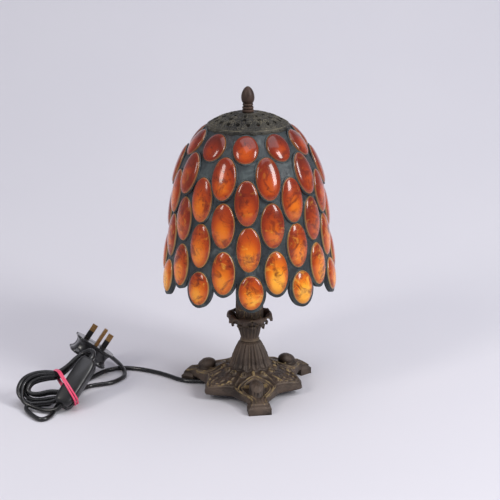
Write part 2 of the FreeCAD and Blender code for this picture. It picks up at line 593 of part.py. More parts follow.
ROCKER_PIVOT = switch_point(0, 0, 6.0)
rocker = switch_box((15.6, 9.0, 4.6), (0, 0, 6.6))
rocker = rocker.cut(switch_box((30, 12, 6), (0, 0, 11.6)))
rocker = rocker.common(Part.makeCylinder(8.6, 20, switch_point(0, -10, 2.0), switch_across))
rocker_axle = Part.makeCylinder(1.0, 12.4, switch_point(0, -6.2, 6.0), switch_across)
rocker = rocker.fuse(rocker_axle)
rocker = turned(rocker, ROCKER_TILT, ROCKER_PIVOT, switch_across)
parts["switch_rocker"] = rocker
bearing = Part.makeCylinder(1.06, 12.6, switch_point(0, -6.3, 6.0), switch_across)
parts["switch_back_half"] = parts["switch_back_half"].cut(bearing)
parts["switch_terminals"] = Part.makeCompound(
    [switch_box((8.0, 4.0, 4.5), (end * 14.0, side * 4.5, -3.6)) for end in (-1, 1) for side in (-1, 1)])

# ---- rubber band -------------------------------------------------------------------------
def rubber_band():
    """Band stretched round the hank and the switch."""
    turn = math.radians(BAND_TURN)
    along = hank_along * math.cos(turn) + hank_up * math.sin(turn)
    up = hank_up * math.cos(turn) - hank_along * math.sin(turn)
    middle = hank_point(BAND_AT[0], BAND_AT[1], 0)
    back, front = -HANK_HALF_THICK, HANK_HALF_THICK + SWITCH_GAP + SWITCH_SIZE[2]

    def loop(grow, width):
        """Slab inside the band, grown outwards."""
        corners = [(back - grow, BAND_BACK_LOW - grow), (back - grow, BAND_TOP + grow),
                   (HANK_HALF_THICK + grow * 0.6, BAND_TOP + grow), (front + grow, BAND_FRONT_TOP + grow * 0.6),
                   (front + grow, BAND_FRONT_LOW - grow), (HANK_HALF_THICK + SWITCH_GAP, BAND_FRONT_LOW - grow)]
        points = [middle + hank_face * f + up * c - along * (width / 2) for f, c in corners]
        return Part.Face(Part.makePolygon(points + [points[0]])).extrude(along * width)
    return loop(0.3 + BAND_THICK, BAND_WIDTH).cut(loop(0.3, BAND_WIDTH + 4))


# ---- plug --------------------------------------------------------------------------------
plug_pin_axis = V(PLUG_PIN_AXIS).normalize()
plug_across = (V(PLUG_ROW_AXIS) - plug_pin_axis * plug_pin_axis.dot(PLUG_ROW_AXIS)).normalize()
plug_near = plug_across.cross(plug_pin_axis)
if plug_near.y > 0:
    plug_near = plug_near * -1


def plug_point(across, near, out):
    """Point in the plug's own frame: along the pin row, towards the earth pin, out of the face."""
    return PLUG_CENTRE + plug_across * across + plug_near * near + plug_pin_axis * out


def plug_box(sizes, at):
    """Box in the plug's own frame."""
    return local_box(sizes, plug_point(*at), (plug_across, plug_near, plug_pin_axis))


def plug_slab(low, high, inset):
    """Slab of the plug's plan between two depths behind the pin face."""
    w, near, far = PLUG_HALF_WIDTH - inset, PLUG_NEAR - inset, PLUG_FAR - inset
    outline = [(-w, -far + 12), (-w + 3, -4), (-w + 3, 4), (-w + 1, near - 7), (-w + 8, near),
               (w - 8, near), (w - 1, near - 7), (w - 3, 4), (w - 3, -4), (w, -far + 12), (9, -far), (-9, -far)]
    points = [plug_point(a, n, low) for a, n in outline]
    return Part.Face(Part.makePolygon(points + [points[0]])).extrude(plug_pin_axis * (high - low))


EARTH_AT, LINE_AT = EARTH_RISE / 2, -EARTH_RISE / 2
plug_body = plug_slab(-PLUG_DEPTH, 0.0, 0.0)
fuse_slot = plug_box((24.0, 7.6, 9.0), (2.0, -1.0, -4.5))
plug_body = plug_body.cut(fuse_slot)
pins = {"live_pin": (PIN_PITCH / 2, LINE_AT, LIVE_PIN), "neutral_pin": (-PIN_PITCH / 2, LINE_AT, LIVE_PIN),
        "earth_pin": (0.0, EARTH_AT, EARTH_PIN)}
PIN_ROOT = 8.0
for name, (a, n, (w, d, reach)) in pins.items():
    pin = plug_box((w, d, reach + PIN_ROOT), (a, n, (reach - PIN_ROOT) / 2))
    plug_body = plug_body.cut(plug_box((w, d, PIN_ROOT), (a, n, -PIN_ROOT / 2)))
    if name != "earth_pin":
        sleeve = plug_box((w, d, SLEEVE_LENGTH), (a, n, SLEEVE_LENGTH / 2))
        core = plug_box((w - 1.2, d - 1.2, SLEEVE_LENGTH + 2), (a, n, SLEEVE_LENGTH / 2))
        tip = plug_box((w, d, reach - SLEEVE_LENGTH), (a, n, (reach + SLEEVE_LENGTH) / 2))
        root = plug_box((w, d, PIN_ROOT), (a, n, -PIN_ROOT / 2))
        pin = tip.fuse([core, root])
        parts[name.replace("_pin", "_sleeve")] = sleeve.cut(core)
    parts[name] = pin
relief_base = plug_point(0, -PLUG_FAR, -PLUG_DEPTH / 2)
relief = Part.makeCone(5.0, 3.6, RELIEF_LENGTH, relief_base, plug_near * -1)
channel = Part.makeCylinder(FLEX_R, RELIEF_LENGTH + 14, relief_base + plug_near * 12, plug_near * -1)
parts["plug_relief"] = relief.cut(channel)
parts["plug_body"] = plug_body
parts["fuse_carrier"] = plug_box((23.6, 7.2, 1.6), (2.0, -1.0, -0.8)).fuse(
    [plug_box((1.4, 7.2, 7.0), (2.0 + end * 11.1, -1.0, -4.3)) for end in (-1, 1)])
parts["fuse"] = Part.makeCylinder(2.6, 20.0, plug_point(-8.0, -1.0, -5.0), plug_across)

tail_start = plug_point(0, -PLUG_FAR - RELIEF_LENGTH, -PLUG_DEPTH / 2)
print("tail starts", [round(c, 2) for c in tail_start])
TAIL = [V(tail_start), tail_start - plug_near * 10.5, V(-177.0, 83.0, 13.0), V(-164.0, 68.5, 8.2), V(-153.0, 48.0, 8.0),
        V(-146.5, 33.0, 2.9), V(-151.0, 20.0, FLEX_Z), V(-162.0, 7.5, FLEX_Z), V(-175.0, 3.5, FLEX_Z),
        V(-188.5, -1.5, FLEX_Z), V(-196.0, -15.0, 2.7), V(-198.5, -28.0, 4.5), V(-198.2, -39.0, 7.2)]
parts["cord_tail"] = tube_along(TAIL, FLEX_R, "cord_tail")
parts["rubber_band"] = rubber_band()

# ---- write one file per node -------------------------------------------------------------
os.makedirs("parts", exist_ok=True)
for name, shape in parts.items():
    solids = shape.Solids
    if not shape.isValid() or not solids:
        print("PROBLEM", name, shape.isValid(), len(solids))
    shape.exportStep("parts/%s.step" % name)
    box = shape.BoundBox
    print("%-20s solids %2d  x %.1f..%.1f  y %.1f..%.1f  z %.2f..%.1f" % (
        name, len(solids), box.XMin, box.XMax, box.YMin, box.YMax, box.ZMin, box.ZMax))
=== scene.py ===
"""Looks of a mosaic glass table lamp: base, stem, domed cabochon shade, finial, flex, switch and plug."""
import logging
import math
from dataclasses import dataclass, field
from enum import Enum
from typing import Callable, Sequence

import bmesh
import bpy
import numpy as np
from mathutils import Matrix, Vector


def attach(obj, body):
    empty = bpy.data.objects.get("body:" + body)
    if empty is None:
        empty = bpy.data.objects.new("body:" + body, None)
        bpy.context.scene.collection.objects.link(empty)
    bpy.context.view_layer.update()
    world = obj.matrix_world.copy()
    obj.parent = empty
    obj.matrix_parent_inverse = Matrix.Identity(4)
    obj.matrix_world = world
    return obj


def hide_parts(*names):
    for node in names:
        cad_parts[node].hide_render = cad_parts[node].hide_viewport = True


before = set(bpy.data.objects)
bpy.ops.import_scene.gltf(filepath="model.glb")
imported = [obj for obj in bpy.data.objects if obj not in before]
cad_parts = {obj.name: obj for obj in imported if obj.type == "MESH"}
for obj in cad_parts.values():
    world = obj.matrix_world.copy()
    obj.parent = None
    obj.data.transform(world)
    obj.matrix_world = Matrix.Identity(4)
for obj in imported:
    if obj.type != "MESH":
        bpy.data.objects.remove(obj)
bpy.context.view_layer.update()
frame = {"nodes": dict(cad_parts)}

LOG = logging.getLogger("lamp")
MM = 0.001
TAU = 2.0 * math.pi
Point = tuple[float, float, float]
Flat = tuple[float, float]


# ---- colours and shader helper --------------------------------------------------------------
def linear(code: str) -> tuple[float, float, float, float]:
    """Turn an sRGB hex colour into linear RGBA.

    Args:
        code: Colour as "#rrggbb".

    Returns:
        Linear red, green, blue and an alpha of 1.
    """
    parts = [int(code[k:k + 2], 16) / 255.0 for k in (1, 3, 5)]
    lin = [c / 12.92 if c <= 0.04045 else ((c + 0.055) / 1.055) ** 2.4 for c in parts]
    return (lin[0], lin[1], lin[2], 1.0)


class Shader:
    """A material with a Principled shader and short calls for the nodes that feed it."""

    def __init__(self, name: str) -> None:
        """Make an empty material of that name.

        Args:
            name: Name of the material.
        """
        self.material = bpy.data.materials.new(name)
        self.material.use_nodes = True
        self.nodes = self.material.node_tree.nodes
        self.links = self.material.node_tree.links
        self.nodes.clear()
        self.out = self.nodes.new("ShaderNodeOutputMaterial")
        self.bsdf = self.nodes.new("ShaderNodeBsdfPrincipled")
        self.links.new(self.bsdf.outputs["BSDF"], self.out.inputs["Surface"])
        self.place = self.nodes.new("ShaderNodeTexCoord").outputs["Object"]

    def node(self, kind: str, settings: dict | None = None, **inputs: object) -> bpy.types.Node:
        """Add one node.

        Args:
            kind: Node type without the "ShaderNode" prefix.
            settings: Properties to set on the node.
            **inputs: Socket values or links; underscores stand for spaces.

        Returns:
            The new node.
        """
        made = self.nodes.new("ShaderNode" + kind)
        for key, value in (settings or {}).items():
            setattr(made, key, value)
        for key, value in inputs.items():
            socket = made.inputs[int(key[1:])] if key[0] == "_" else made.inputs[key.replace("_", " ")]
            self.feed(socket, value)
        return made

    def feed(self, socket: bpy.types.NodeSocket, value: object) -> None:
        """Give a socket a value or a link."""
        if isinstance(value, bpy.types.NodeSocket):
            self.links.new(value, socket)
        else:
            socket.default_value = value

    def surface(self, **values: object) -> None:
        """Set inputs of the Principled shader; underscores stand for spaces."""
        for key, value in values.items():
            self.feed(self.bsdf.inputs[key.replace("_", " ")], value)

    def noise(self, scale: float, detail: float = 3.0, rough: float = 0.55, warp: float = 0.0,
              where: bpy.types.NodeSocket | None = None) -> bpy.types.NodeSocket:
        """Noise in metres on the piece's own coordinates."""
        return self.node("TexNoise", None, Vector=where or self.place, Scale=scale, Detail=detail,
                         Roughness=rough, Distortion=warp).outputs["Fac"]

    def attribute(self, name: str) -> bpy.types.NodeSocket:
        """Value of a point attribute of the piece."""
        return self.node("Attribute", {"attribute_name": name}).outputs["Fac"]

    def ramp(self, value: bpy.types.NodeSocket, *stops: tuple[float, str]) -> bpy.types.NodeSocket:
        """Colour ramp over (position, hex) stops.

        Args:
            value: Socket that runs along the ramp.
            *stops: Places from 0 to 1 with their colours.

        Returns:
            The colour socket.
        """
        made = self.node("ValToRGB", None, Fac=value)
        elements = made.color_ramp.elements
        while len(elements) < len(stops):
            elements.new(0.5)
        for element, (position, code) in zip(elements, stops):
            element.position = position
            element.color = linear(code)
        return made.outputs["Color"]

    def mix(self, factor: object, low: object, high: object, blend: str = "MIX") -> bpy.types.NodeSocket:
        """Mix two colours; a factor, colour or socket is taken for each.

        Args:
            factor: Share of the second colour.
            low: First colour.
            high: Second colour.
            blend: Way of blending.

        Returns:
            The colour socket.
        """
        made = self.node("Mix", {"data_type": "RGBA", "blend_type": blend})
        self.feed(made.inputs[0], factor)
        for socket, value in ((made.inputs[6], low), (made.inputs[7], high)):
            self.feed(socket, linear(value) if isinstance(value, str) else value)
        return made.outputs[2]

    def math(self, what: str, first: object, second: object = 0.0,
             clamp: bool = False) -> bpy.types.NodeSocket:
        """One Math node.

        Args:
            what: Operation.
            first: First value or socket.
            second: Second value or socket.
            clamp: Whether to keep the answer between 0 and 1.

        Returns:
            The value socket.
        """
        made = self.node("Math", {"operation": what, "use_clamp": clamp})
        self.feed(made.inputs[0], first)
        self.feed(made.inputs[1], second)
        return made.outputs[0]

    def span(self, value: object, low: float, high: float, to_low: float = 0.0,
             to_high: float = 1.0) -> bpy.types.NodeSocket:
        """Map a value between two limits, smoothly and clamped."""
        made = self.node("MapRange", {"interpolation_type": "SMOOTHSTEP"}, Value=value, From_Min=low,
                         From_Max=high,
                         To_Min=to_low, To_Max=to_high)
        return made.outputs[0]

    def bump(self, height: bpy.types.NodeSocket, distance: float, strength: float = 1.0) -> None:
        """Raise the surface's shading by a height, in metres."""
        made = self.node("Bump", None, Height=height, Distance=distance, Strength=strength)
        self.feed(self.bsdf.inputs["Normal"], made.outputs["Normal"])


# ---- finishes ----------------------------------------------------------------------------------
@dataclass(frozen=True)
class CastBronze:
    """Dark patinated casting with gold showing where hands and cloths rub it."""

    name: str = "cast_bronze"
    deep: str = "#2a221d"
    mid: str = "#52463d"
    warm: str = "#6b5b4e"
    rubbed: str = "#968159"
    rub: float = 1.0
    grain: float = 0.00045

    def make(self) -> bpy.types.Material:
        """Build the material."""
        tint = Shader(self.name)
        # slow brown and near-black clouds: the patina is uneven over the casting
        cloud = tint.noise(38.0, 4.0, 0.6, 0.4)
        base = tint.ramp(cloud, (0.3, self.deep), (0.52, self.mid), (0.74, self.warm))
        # raised lines catch wear: the height attribute is broken up by a fine noise
        height = tint.attribute("relief")
        patches = tint.noise(95.0, 3.0, 0.6)
        worn = tint.math("MULTIPLY", tint.span(height, 0.25, 0.95), tint.span(patches, 0.4, 0.64, 0.1, 1.0))
        worn = tint.math("MULTIPLY", worn, self.rub, True)
        # hollows hold dark wax
        low = tint.span(height, -1.0, 0.05, 0.9, 0.0)
        base = tint.mix(low, base, self.deep)
        colour = tint.mix(worn, base, self.rubbed)
        # fine dust-like specks of the sand casting
        speck = tint.noise(620.0, 2.0, 0.6)
        colour = tint.mix(tint.span(speck, 0.62, 0.75, 0.0, 0.35), colour, self.warm)
        rough = tint.span(cloud, 0.3, 0.75, 0.46, 0.64)
        tint.surface(Base_Color=colour, Metallic=0.35, Roughness=rough, Specular_IOR_Level=0.45)
        pits = tint.noise(420.0, 4.0, 0.65)
        tint.bump(pits, self.grain, 0.9)
        return tint.material


@dataclass(frozen=True)
class AmberGlass:
    """Polished amber cabochon: orange body with a painted glow, cloudy inclusions and a painted highlight
    along the girdle edge.
    """

    name: str = "amber_glass"

    def make(self) -> bpy.types.Material:
        """Build the material."""
        tint = Shader(self.name)
        uv = tint.node("Attribute", {"attribute_name": "stone_uv"}).outputs["Vector"]
        tone = tint.attribute("stone_tone")
        low = tint.attribute("stone_low")
        # distance from the oval's middle, 0 to 1 at the girdle
        radial = tint.node("VectorMath", {"operation": "LENGTH"}, _0=uv).outputs["Value"]
        # the body is lighter and yellower towards its lower middle, where light gathers
        lift = tint.node("VectorMath", {"operation": "DISTANCE"}, _0=uv,
                         _1=(0.0, -0.42, 0.0)).outputs["Value"]
        glow = tint.span(lift, 0.15, 1.25, 1.0, 0.0)
        body = tint.ramp(tint.math("ADD", tint.math("MULTIPLY", glow, 0.4),
                                   tint.math("ADD", tint.math("MULTIPLY", tone, 0.24),
                                             tint.math("MULTIPLY", low, 0.52))),
                         (0.1, "#501303"), (0.36, "#802503"), (0.6, "#ae4304"), (0.84, "#d97009"),
                         (1.0, "#efa023"))
        # smoky flakes and dark cracks inside the glass
        smoke = tint.noise(70.0, 5.0, 0.62, 0.9)
        colour = tint.mix(tint.span(smoke, 0.46, 0.66, 0.0, 0.8), body, "#5f1703")
        flake = tint.noise(105.0, 5.0, 0.72, 1.4)
        colour = tint.mix(tint.span(flake, 0.56, 0.7, 0.0, 0.8), colour, "#2c0b04")
        # golden veils
        veil = tint.noise(75.0, 3.0, 0.6, 1.2)
        colour = tint.mix(tint.math("MULTIPLY", tint.span(veil, 0.56, 0.72, 0.0, 0.6), low), colour,
                          "#f2b23e")
        # the body is darker and redder towards the sides of each stone
        colour = tint.mix(tint.span(radial, 0.6, 0.95, 0.0, 0.4), colour, "#7a2305")
        # pale rim along the girdle, stronger on the lower rows: painted highlight where the girdle edge
        # catches light
        edge = tint.math("MULTIPLY", tint.span(radial, 0.93, 1.0), tint.span(low, 0.0, 0.9, 0.3, 0.85))
        colour = tint.mix(edge, colour, "#a88a54")
        # emission in the stone's own colour is a painted glow, standing in for light shining through the
        # glass
        tint.surface(Base_Color=colour, Roughness=0.22, Specular_IOR_Level=0.22, IOR=1.5,
                     Coat_Weight=0.6, Coat_Roughness=0.05, Emission_Color=colour, Emission_Strength=0.14)
        ripple = tint.noise(60.0, 2.0, 0.5)
        tint.bump(ripple, 0.0009, 0.35)
        return tint.material


@dataclass(frozen=True)
class SlateMatrix:
    """Dark grey-green filler between the stones, mottled and slightly lumpy."""

    name: str = "slate_matrix"

    def make(self) -> bpy.types.Material:
        """Build the material."""
        tint = Shader(self.name)
        cloud = tint.noise(48.0, 5.0, 0.62, 0.7)
        colour = tint.ramp(cloud, (0.3, "#171b1e"), (0.48, "#2a3134"), (0.62, "#3b4445"), (0.78, "#5b6563"))
        # chalky smears left by the polishing
        smear = tint.noise(24.0, 3.0, 0.6, 1.5)
        colour = tint.mix(tint.span(smear, 0.58, 0.74, 0.0, 0.5), colour, "#77807e")
        # brown tint where the putty is thin
        colour = tint.mix(tint.span(tint.noise(31.0, 2.0), 0.58, 0.75, 0.0, 0.4), colour, "#3a2a22")
        tint.surface(Base_Color=colour, Metallic=0.1, Roughness=tint.span(cloud, 0.3, 0.8, 0.38, 0.62))
        lumps = tint.math("ADD", tint.noise(230.0, 4.0, 0.6), tint.math("MULTIPLY", tint.noise(90.0), 1.5))
        tint.bump(lumps, 0.0008, 0.8)
        return tint.material


@dataclass(frozen=True)
class Moulding:
    """Moulded plastic or rubber with a fine texture."""

    name: str
    colour: str
    worn: str
    rough: float
    coat: float = 0.0
    grain: float = 0.00012
    metal: float = 0.0

    def make(self) -> bpy.types.Material:
        """Build the material."""
        tint = Shader(self.name)
        haze = tint.noise(70.0, 3.0, 0.6)
        # handling leaves a faint lighter haze
        colour = tint.mix(tint.span(haze, 0.48, 0.8, 0.0, 0.7), self.colour, self.worn)
        tint.surface(Base_Color=colour, Metallic=self.metal, Coat_Weight=self.coat, Coat_Roughness=0.2,
                     Roughness=tint.span(haze, 0.3, 0.75, self.rough - 0.06, self.rough + 0.1))
        tint.bump(tint.noise(900.0, 2.0, 0.5), self.grain, 0.5)
        return tint.material


@dataclass(frozen=True)
class PlainMetal:
    """Turned, rolled or plated metal with faint streaks and a little tarnish."""

    name: str
    colour: str
    tarnish: str
    rough: float

    def make(self) -> bpy.types.Material:
        """Build the material."""
        tint = Shader(self.name)
        stretch = tint.node("Mapping", None, Vector=tint.place, Scale=(1.0, 1.0, 12.0)).outputs["Vector"]
        streak = tint.noise(180.0, 3.0, 0.6, 0.0, stretch)
        stain = tint.noise(55.0, 3.0, 0.6)
        colour = tint.mix(tint.span(stain, 0.45, 0.75, 0.0, 0.8), self.colour, self.tarnish)
        tint.surface(Base_Color=colour, Metallic=1.0,
                     Roughness=tint.span(streak, 0.3, 0.7, self.rough - 0.07, self.rough + 0.1))
        tint.bump(streak, 0.00005, 0.5)
        return tint.material


@dataclass(frozen=True)
class ClearGlass:
    """Thin clear glass of the bulb."""

    name: str = "clear_glass"

    def make(self) -> bpy.types.Material:
        """Build the material."""
        tint = Shader(self.name)
        dust = tint.noise(120.0, 2.0)
        tint.surface(Base_Color=linear("#f4f4f0"), Transmission_Weight=1.0, IOR=1.5,
                     Roughness=tint.span(dust, 0.5, 0.9, 0.02, 0.12))
        return tint.material


@dataclass(frozen=True)
class Studio:
    """Matt paper of the sweep."""

    name: str = "paper_sweep"
    tone: str = "#d9d8dd"

    def make(self) -> bpy.types.Material:
        """Build the material."""
        tint = Shader(self.name)
        grain = tint.noise(3.0, 2.0)
        tint.surface(Base_Color=tint.mix(tint.span(grain, 0.3, 0.7, 0.0, 0.25), self.tone, "#d3d2d9"),
                     Roughness=0.92, Specular_IOR_Level=0.15)
        return tint.material


class Finish(Enum):
    """The finishes of the lamp, by the thing they are on."""

    CASTING = CastBronze()
    CAP = CastBronze("cap_patina", "#1b1a17", "#3a3831", "#524e43", "#7d7560", 0.6, 0.0005)
    FINIAL = CastBronze("finial_bronze", "#2a1e19", "#45332b", "#5b4438", "#8a6c55", 0.5, 0.0002)
    STONE = AmberGlass()
    MATRIX = SlateMatrix()
    SHEATH = Moulding("black_flex", "#060607", "#101013", 0.27, 0.2)
    PLUG = Moulding("plug_moulding", "#08080b", "#15151a", 0.27, 0.4)
    SWITCH = Moulding("switch_moulding", "#060607", "#0e0e10", 0.36, 0.1)
    SLEEVE = Moulding("pin_sleeve", "#0a0a0b", "#151517", 0.4)
    BAND = Moulding("pink_rubber", "#e2466c", "#ee7d97", 0.5, 0.0, 0.0003)
    HOLDER = Moulding("holder_phenolic", "#1c1311", "#2c201c", 0.4)
    CERAMIC = Moulding("holder_ceramic", "#d8d4c8", "#c3bca8", 0.55)
    FUSE = Moulding("fuse_ceramic", "#cfc8b4", "#b5ab90", 0.4)
    PIN = PlainMetal("pin_brass", "#a27e50", "#7c553a", 0.3)
    CONTACT = PlainMetal("contact_brass", "#c79c55", "#8f6a35", 0.3)
    HARP = PlainMetal("harp_brass", "#8c6f3b", "#5a4424", 0.36)
    ZINC = PlainMetal("zinc_plate", "#a9a8a2", "#7d7a70", 0.34)
    FILAMENT = PlainMetal("filament_wire", "#8f8f8f", "#5f5f5f", 0.3)
    GLASS = ClearGlass()
    PAPER = Studio()


class Paint:
    """Makes each finish once and puts it on pieces."""

    made: dict[str, bpy.types.Material] = {}

    @classmethod
    def get(cls, finish: Finish) -> bpy.types.Material:
        """Material of a finish, made on first use."""
        if finish.name not in cls.made:
            cls.made[finish.name] = finish.value.make()
        return cls.made[finish.name]

    @classmethod
    def on(cls, piece: bpy.types.Object, finish: Finish) -> None:
        """Put one finish on a whole piece."""
        if piece.material_slots:
            for slot in piece.material_slots:
                slot.material = cls.get(finish)
        else:
            piece.data.materials.append(cls.get(finish))


# ---- mesh helpers --------------------------------------------------------------------------------
def new_mesh(name: str, points: Sequence[Sequence[float]], faces: Sequence[Sequence[int]],
             smooth: bool = True) -> bpy.types.Object:
    """Make an object from points in millimetres.

    Args:
        name: Name of the piece.
        points: Corner positions in millimetres.
        faces: Corner numbers of each face, turning outwards.
        smooth: Whether faces shade smoothly.

    Returns:
        The linked object at the origin.
    """
    mesh = bpy.data.meshes.new(name)
    mesh.from_pydata([tuple(c * MM for c in point) for point in points], [], [tuple(f) for f in faces])
    mesh.validate()
    mesh.polygons.foreach_set("use_smooth", [smooth] * len(mesh.polygons))
    mesh.update()
    made = bpy.data.objects.new(name, mesh)
    bpy.context.scene.collection.objects.link(made)
    return made


def recalc(piece: bpy.types.Object, merge: float = 0.00001) -> bpy.types.Object:
    """Merge doubles and turn every face outwards.

    Args:
        piece: Mesh to clean.
        merge: Distance in metres under which points become one.

    Returns:
        The same piece.
    """
    work = bmesh.new()
    work.from_mesh(piece.data)
    bmesh.ops.remove_doubles(work, verts=work.verts, dist=merge)
    bmesh.ops.recalc_face_normals(work, faces=work.faces)
    work.to_mesh(piece.data)
    work.free()
    return piece


def baked(piece: bpy.types.Object) -> bpy.types.Object:
    """Apply a piece's modifiers, or turn its curve into a mesh, and keep the result as a plain mesh.

    Args:
        piece: Piece with modifiers, or a curve.

    Returns:
        The plain mesh, under the same name.
    """
    deps = bpy.context.evaluated_depsgraph_get()
    mesh = bpy.data.meshes.new_from_object(piece.evaluated_get(deps), depsgraph=deps)
    name = piece.name
    bpy.data.objects.remove(piece)
    mesh.name = name
    made = bpy.data.objects.new(name, mesh)
    bpy.context.scene.collection.objects.link(made)
    return made


def grid_faces(rows: int, columns: int, closed: bool, flip: bool = False) -> list[tuple[int, int, int, int]]:
    """Faces of a grid of points numbered row by row.

    Args:
        rows: Number of rows.
        columns: Number of columns.
        closed: Whether the columns wrap round.
        flip: Whether to turn the faces over.

    Returns:
        The corner numbers of each face.
    """
    faces = []
    for i in range(rows - 1):
        for j in range(columns if closed else columns - 1):
            k = (j + 1) % columns
            face = (i * columns + j, i * columns + k, (i + 1) * columns + k, (i + 1) * columns + j)
            faces.append(face[::-1] if flip else face)
    return faces


def turned(name: str, profile: Sequence[Flat], segments: int = 64) -> bpy.types.Object:
    """Lathe a (radius, height) outline about the lamp's axis, in millimetres."""
    points = [(r * math.cos(TAU * j / segments), r * math.sin(TAU * j / segments), z)
              for r, z in profile for j in range(segments)]
    return recalc(new_mesh(name, points, grid_faces(len(profile), segments, True)), 0.00002)


def smooth_line(points: Sequence[Sequence[float]], steps: int, closed: bool = False) -> np.ndarray:
    """Catmull-Rom line through points.

    Args:
        points: Points of any dimension.
        steps: New points for each given one.
        closed: Whether the line closes.

    Returns:
        The points along the line.
    """
    pts = np.array(points, float)
    count = len(pts)
    out = []
    for i in range(count if closed else count - 1):
        if closed:
            a, b, c, d = (pts[(i + k) % count] for k in (-1, 0, 1, 2))
        else:
            a, b, c, d = pts[max(i - 1, 0)], pts[i], pts[i + 1], pts[min(i + 2, count - 1)]
        for s in range(steps):
            t = s / steps
            out.append(0.5 * (2 * b + (c - a) * t + (2 * a - 5 * b + 4 * c - d) * t ** 2
                              + (3 * b - a - 3 * c + d) * t ** 3))
    if not closed:
        out.append(pts[-1])
    return np.array(out)


def swept(name: str, path: np.ndarray, sizes: Callable[[float], Flat], sides: int = 12, closed: bool = False,
          up: Point = (0.0, 0.0, 1.0)) -> bpy.types.Object:
    """Sweep an oval along a path.

    Args:
        name: Name of the piece.
        path: Points in millimetres.
        sizes: Half width and half thickness at a fraction of the length.
        sides: Corners of the section.
        closed: Whether the path closes on itself.
        up: Direction that the thickness keeps to.

    Returns:
        The swept piece, capped when it is open.
    """
    count = len(path)
    points: list[Sequence[float]] = []
    guide = Vector(up)
    for i in range(count):
        before = path[(i - 1) % count] if closed or i > 0 else path[i]
        after = path[(i + 1) % count] if closed or i < count - 1 else path[i]
        along = Vector(after - before).normalized()
        side = along.cross(guide).normalized()
        over = side.cross(along)
        wide, thick = sizes(i / (count - 1))
        for j in range(sides):
            angle = TAU * j / sides
            offset = side * (wide * math.cos(angle)) + over * (thick * math.sin(angle))
            points.append(tuple(Vector(path[i]) + offset))
    faces: list[Sequence[int]] = list(grid_faces(count, sides, True))
    if closed:
        last = (count - 1) * sides
        faces += [(last + j, last + (j + 1) % sides, (j + 1) % sides, j) for j in range(sides)]
    else:
        faces += [tuple(range(sides))[::-1], tuple(range((count - 1) * sides, count * sides))]
    return recalc(new_mesh(name, points, faces))


def joined(name: str, pieces: list[bpy.types.Object]) -> bpy.types.Object:
    """Join meshes into one piece.

    Args:
        name: Name of the piece.
        pieces: Meshes to join, which are removed.

    Returns:
        The joined piece.
    """
    work = bmesh.new()
    for piece in pieces:
        work.from_mesh(piece.data)
        bpy.data.objects.remove(piece)
    mesh = bpy.data.meshes.new(name)
    work.to_mesh(mesh)
    work.free()
    made = bpy.data.objects.new(name, mesh)
    bpy.context.scene.collection.objects.link(made)
    return made


def line_distance(u: np.ndarray, v: np.ndarray, line: Sequence[Sequence[float]]) -> np.ndarray:
    """Distance from many points to a flat polyline.

    Args:
        u: First coordinates.
        v: Second coordinates.
        line: Corners of the polyline.

    Returns:
        The distance of each point.
    """
    pts = np.array(line, float)
    best = np.full(u.shape, 1e9)
    for (x0, y0), (x1, y1) in zip(pts[:-1], pts[1:]):
        dx, dy = x1 - x0, y1 - y0
        t = np.clip(((u - x0) * dx + (v - y0) * dy) / max(dx * dx + dy * dy, 1e-9), 0, 1)
        best = np.minimum(best, np.hypot(u - x0 - t * dx, v - y0 - t * dy))
    return best


def spiral(centre: Flat, radius: float, turns: float, start: float, hand: int = 1,
           steps: int = 26) -> list[Flat]:
    """Flat spiral that winds inwards, in millimetres.

    Args:
        centre: Middle of the spiral.
        radius: Radius where it starts.
        turns: Number of turns.
        start: Angle in degrees where it starts.
        hand: 1 to wind anticlockwise, -1 clockwise.
        steps: Number of pieces of the line.

    Returns:
        The corners of the line.
    """
    line = []
    for k in range(steps + 1):
        t = k / steps
        angle = math.radians(start) + hand * TAU * turns * t
        r = radius * (1 - 0.86 * t)
        line.append((centre[0] + r * math.cos(angle), centre[1] + r * math.sin(angle)))
    return line


def set_relief(piece: bpy.types.Object, values: np.ndarray) -> None:
    """Store the height attribute that the casting's wear reads."""
    attribute = piece.data.attributes.new("relief", "FLOAT", "POINT")
    attribute.data.foreach_set("value", values.astype(np.float32).ravel())


def lumps(u: np.ndarray, v: np.ndarray, size: float, seed: int) -> np.ndarray:
    """Smooth repeatable pebbles of about one size, between -1 and 1.

    Args:
        u: First coordinates.
        v: Second coordinates.
        size: Usual size of a pebble.
        seed: Seed of the pattern.

    Returns:
        The height of each point.
    """
    rng = np.random.default_rng(seed)
    total = np.zeros(u.shape)
    for _ in range(14):
        angle, phase = rng.uniform(0, TAU), rng.uniform(0, TAU)
        wave = TAU / (size * rng.uniform(0.8, 1.9))
        total += np.sin((u * math.cos(angle) + v * math.sin(angle)) * wave + phase)
    return np.tanh(total / 3.2)


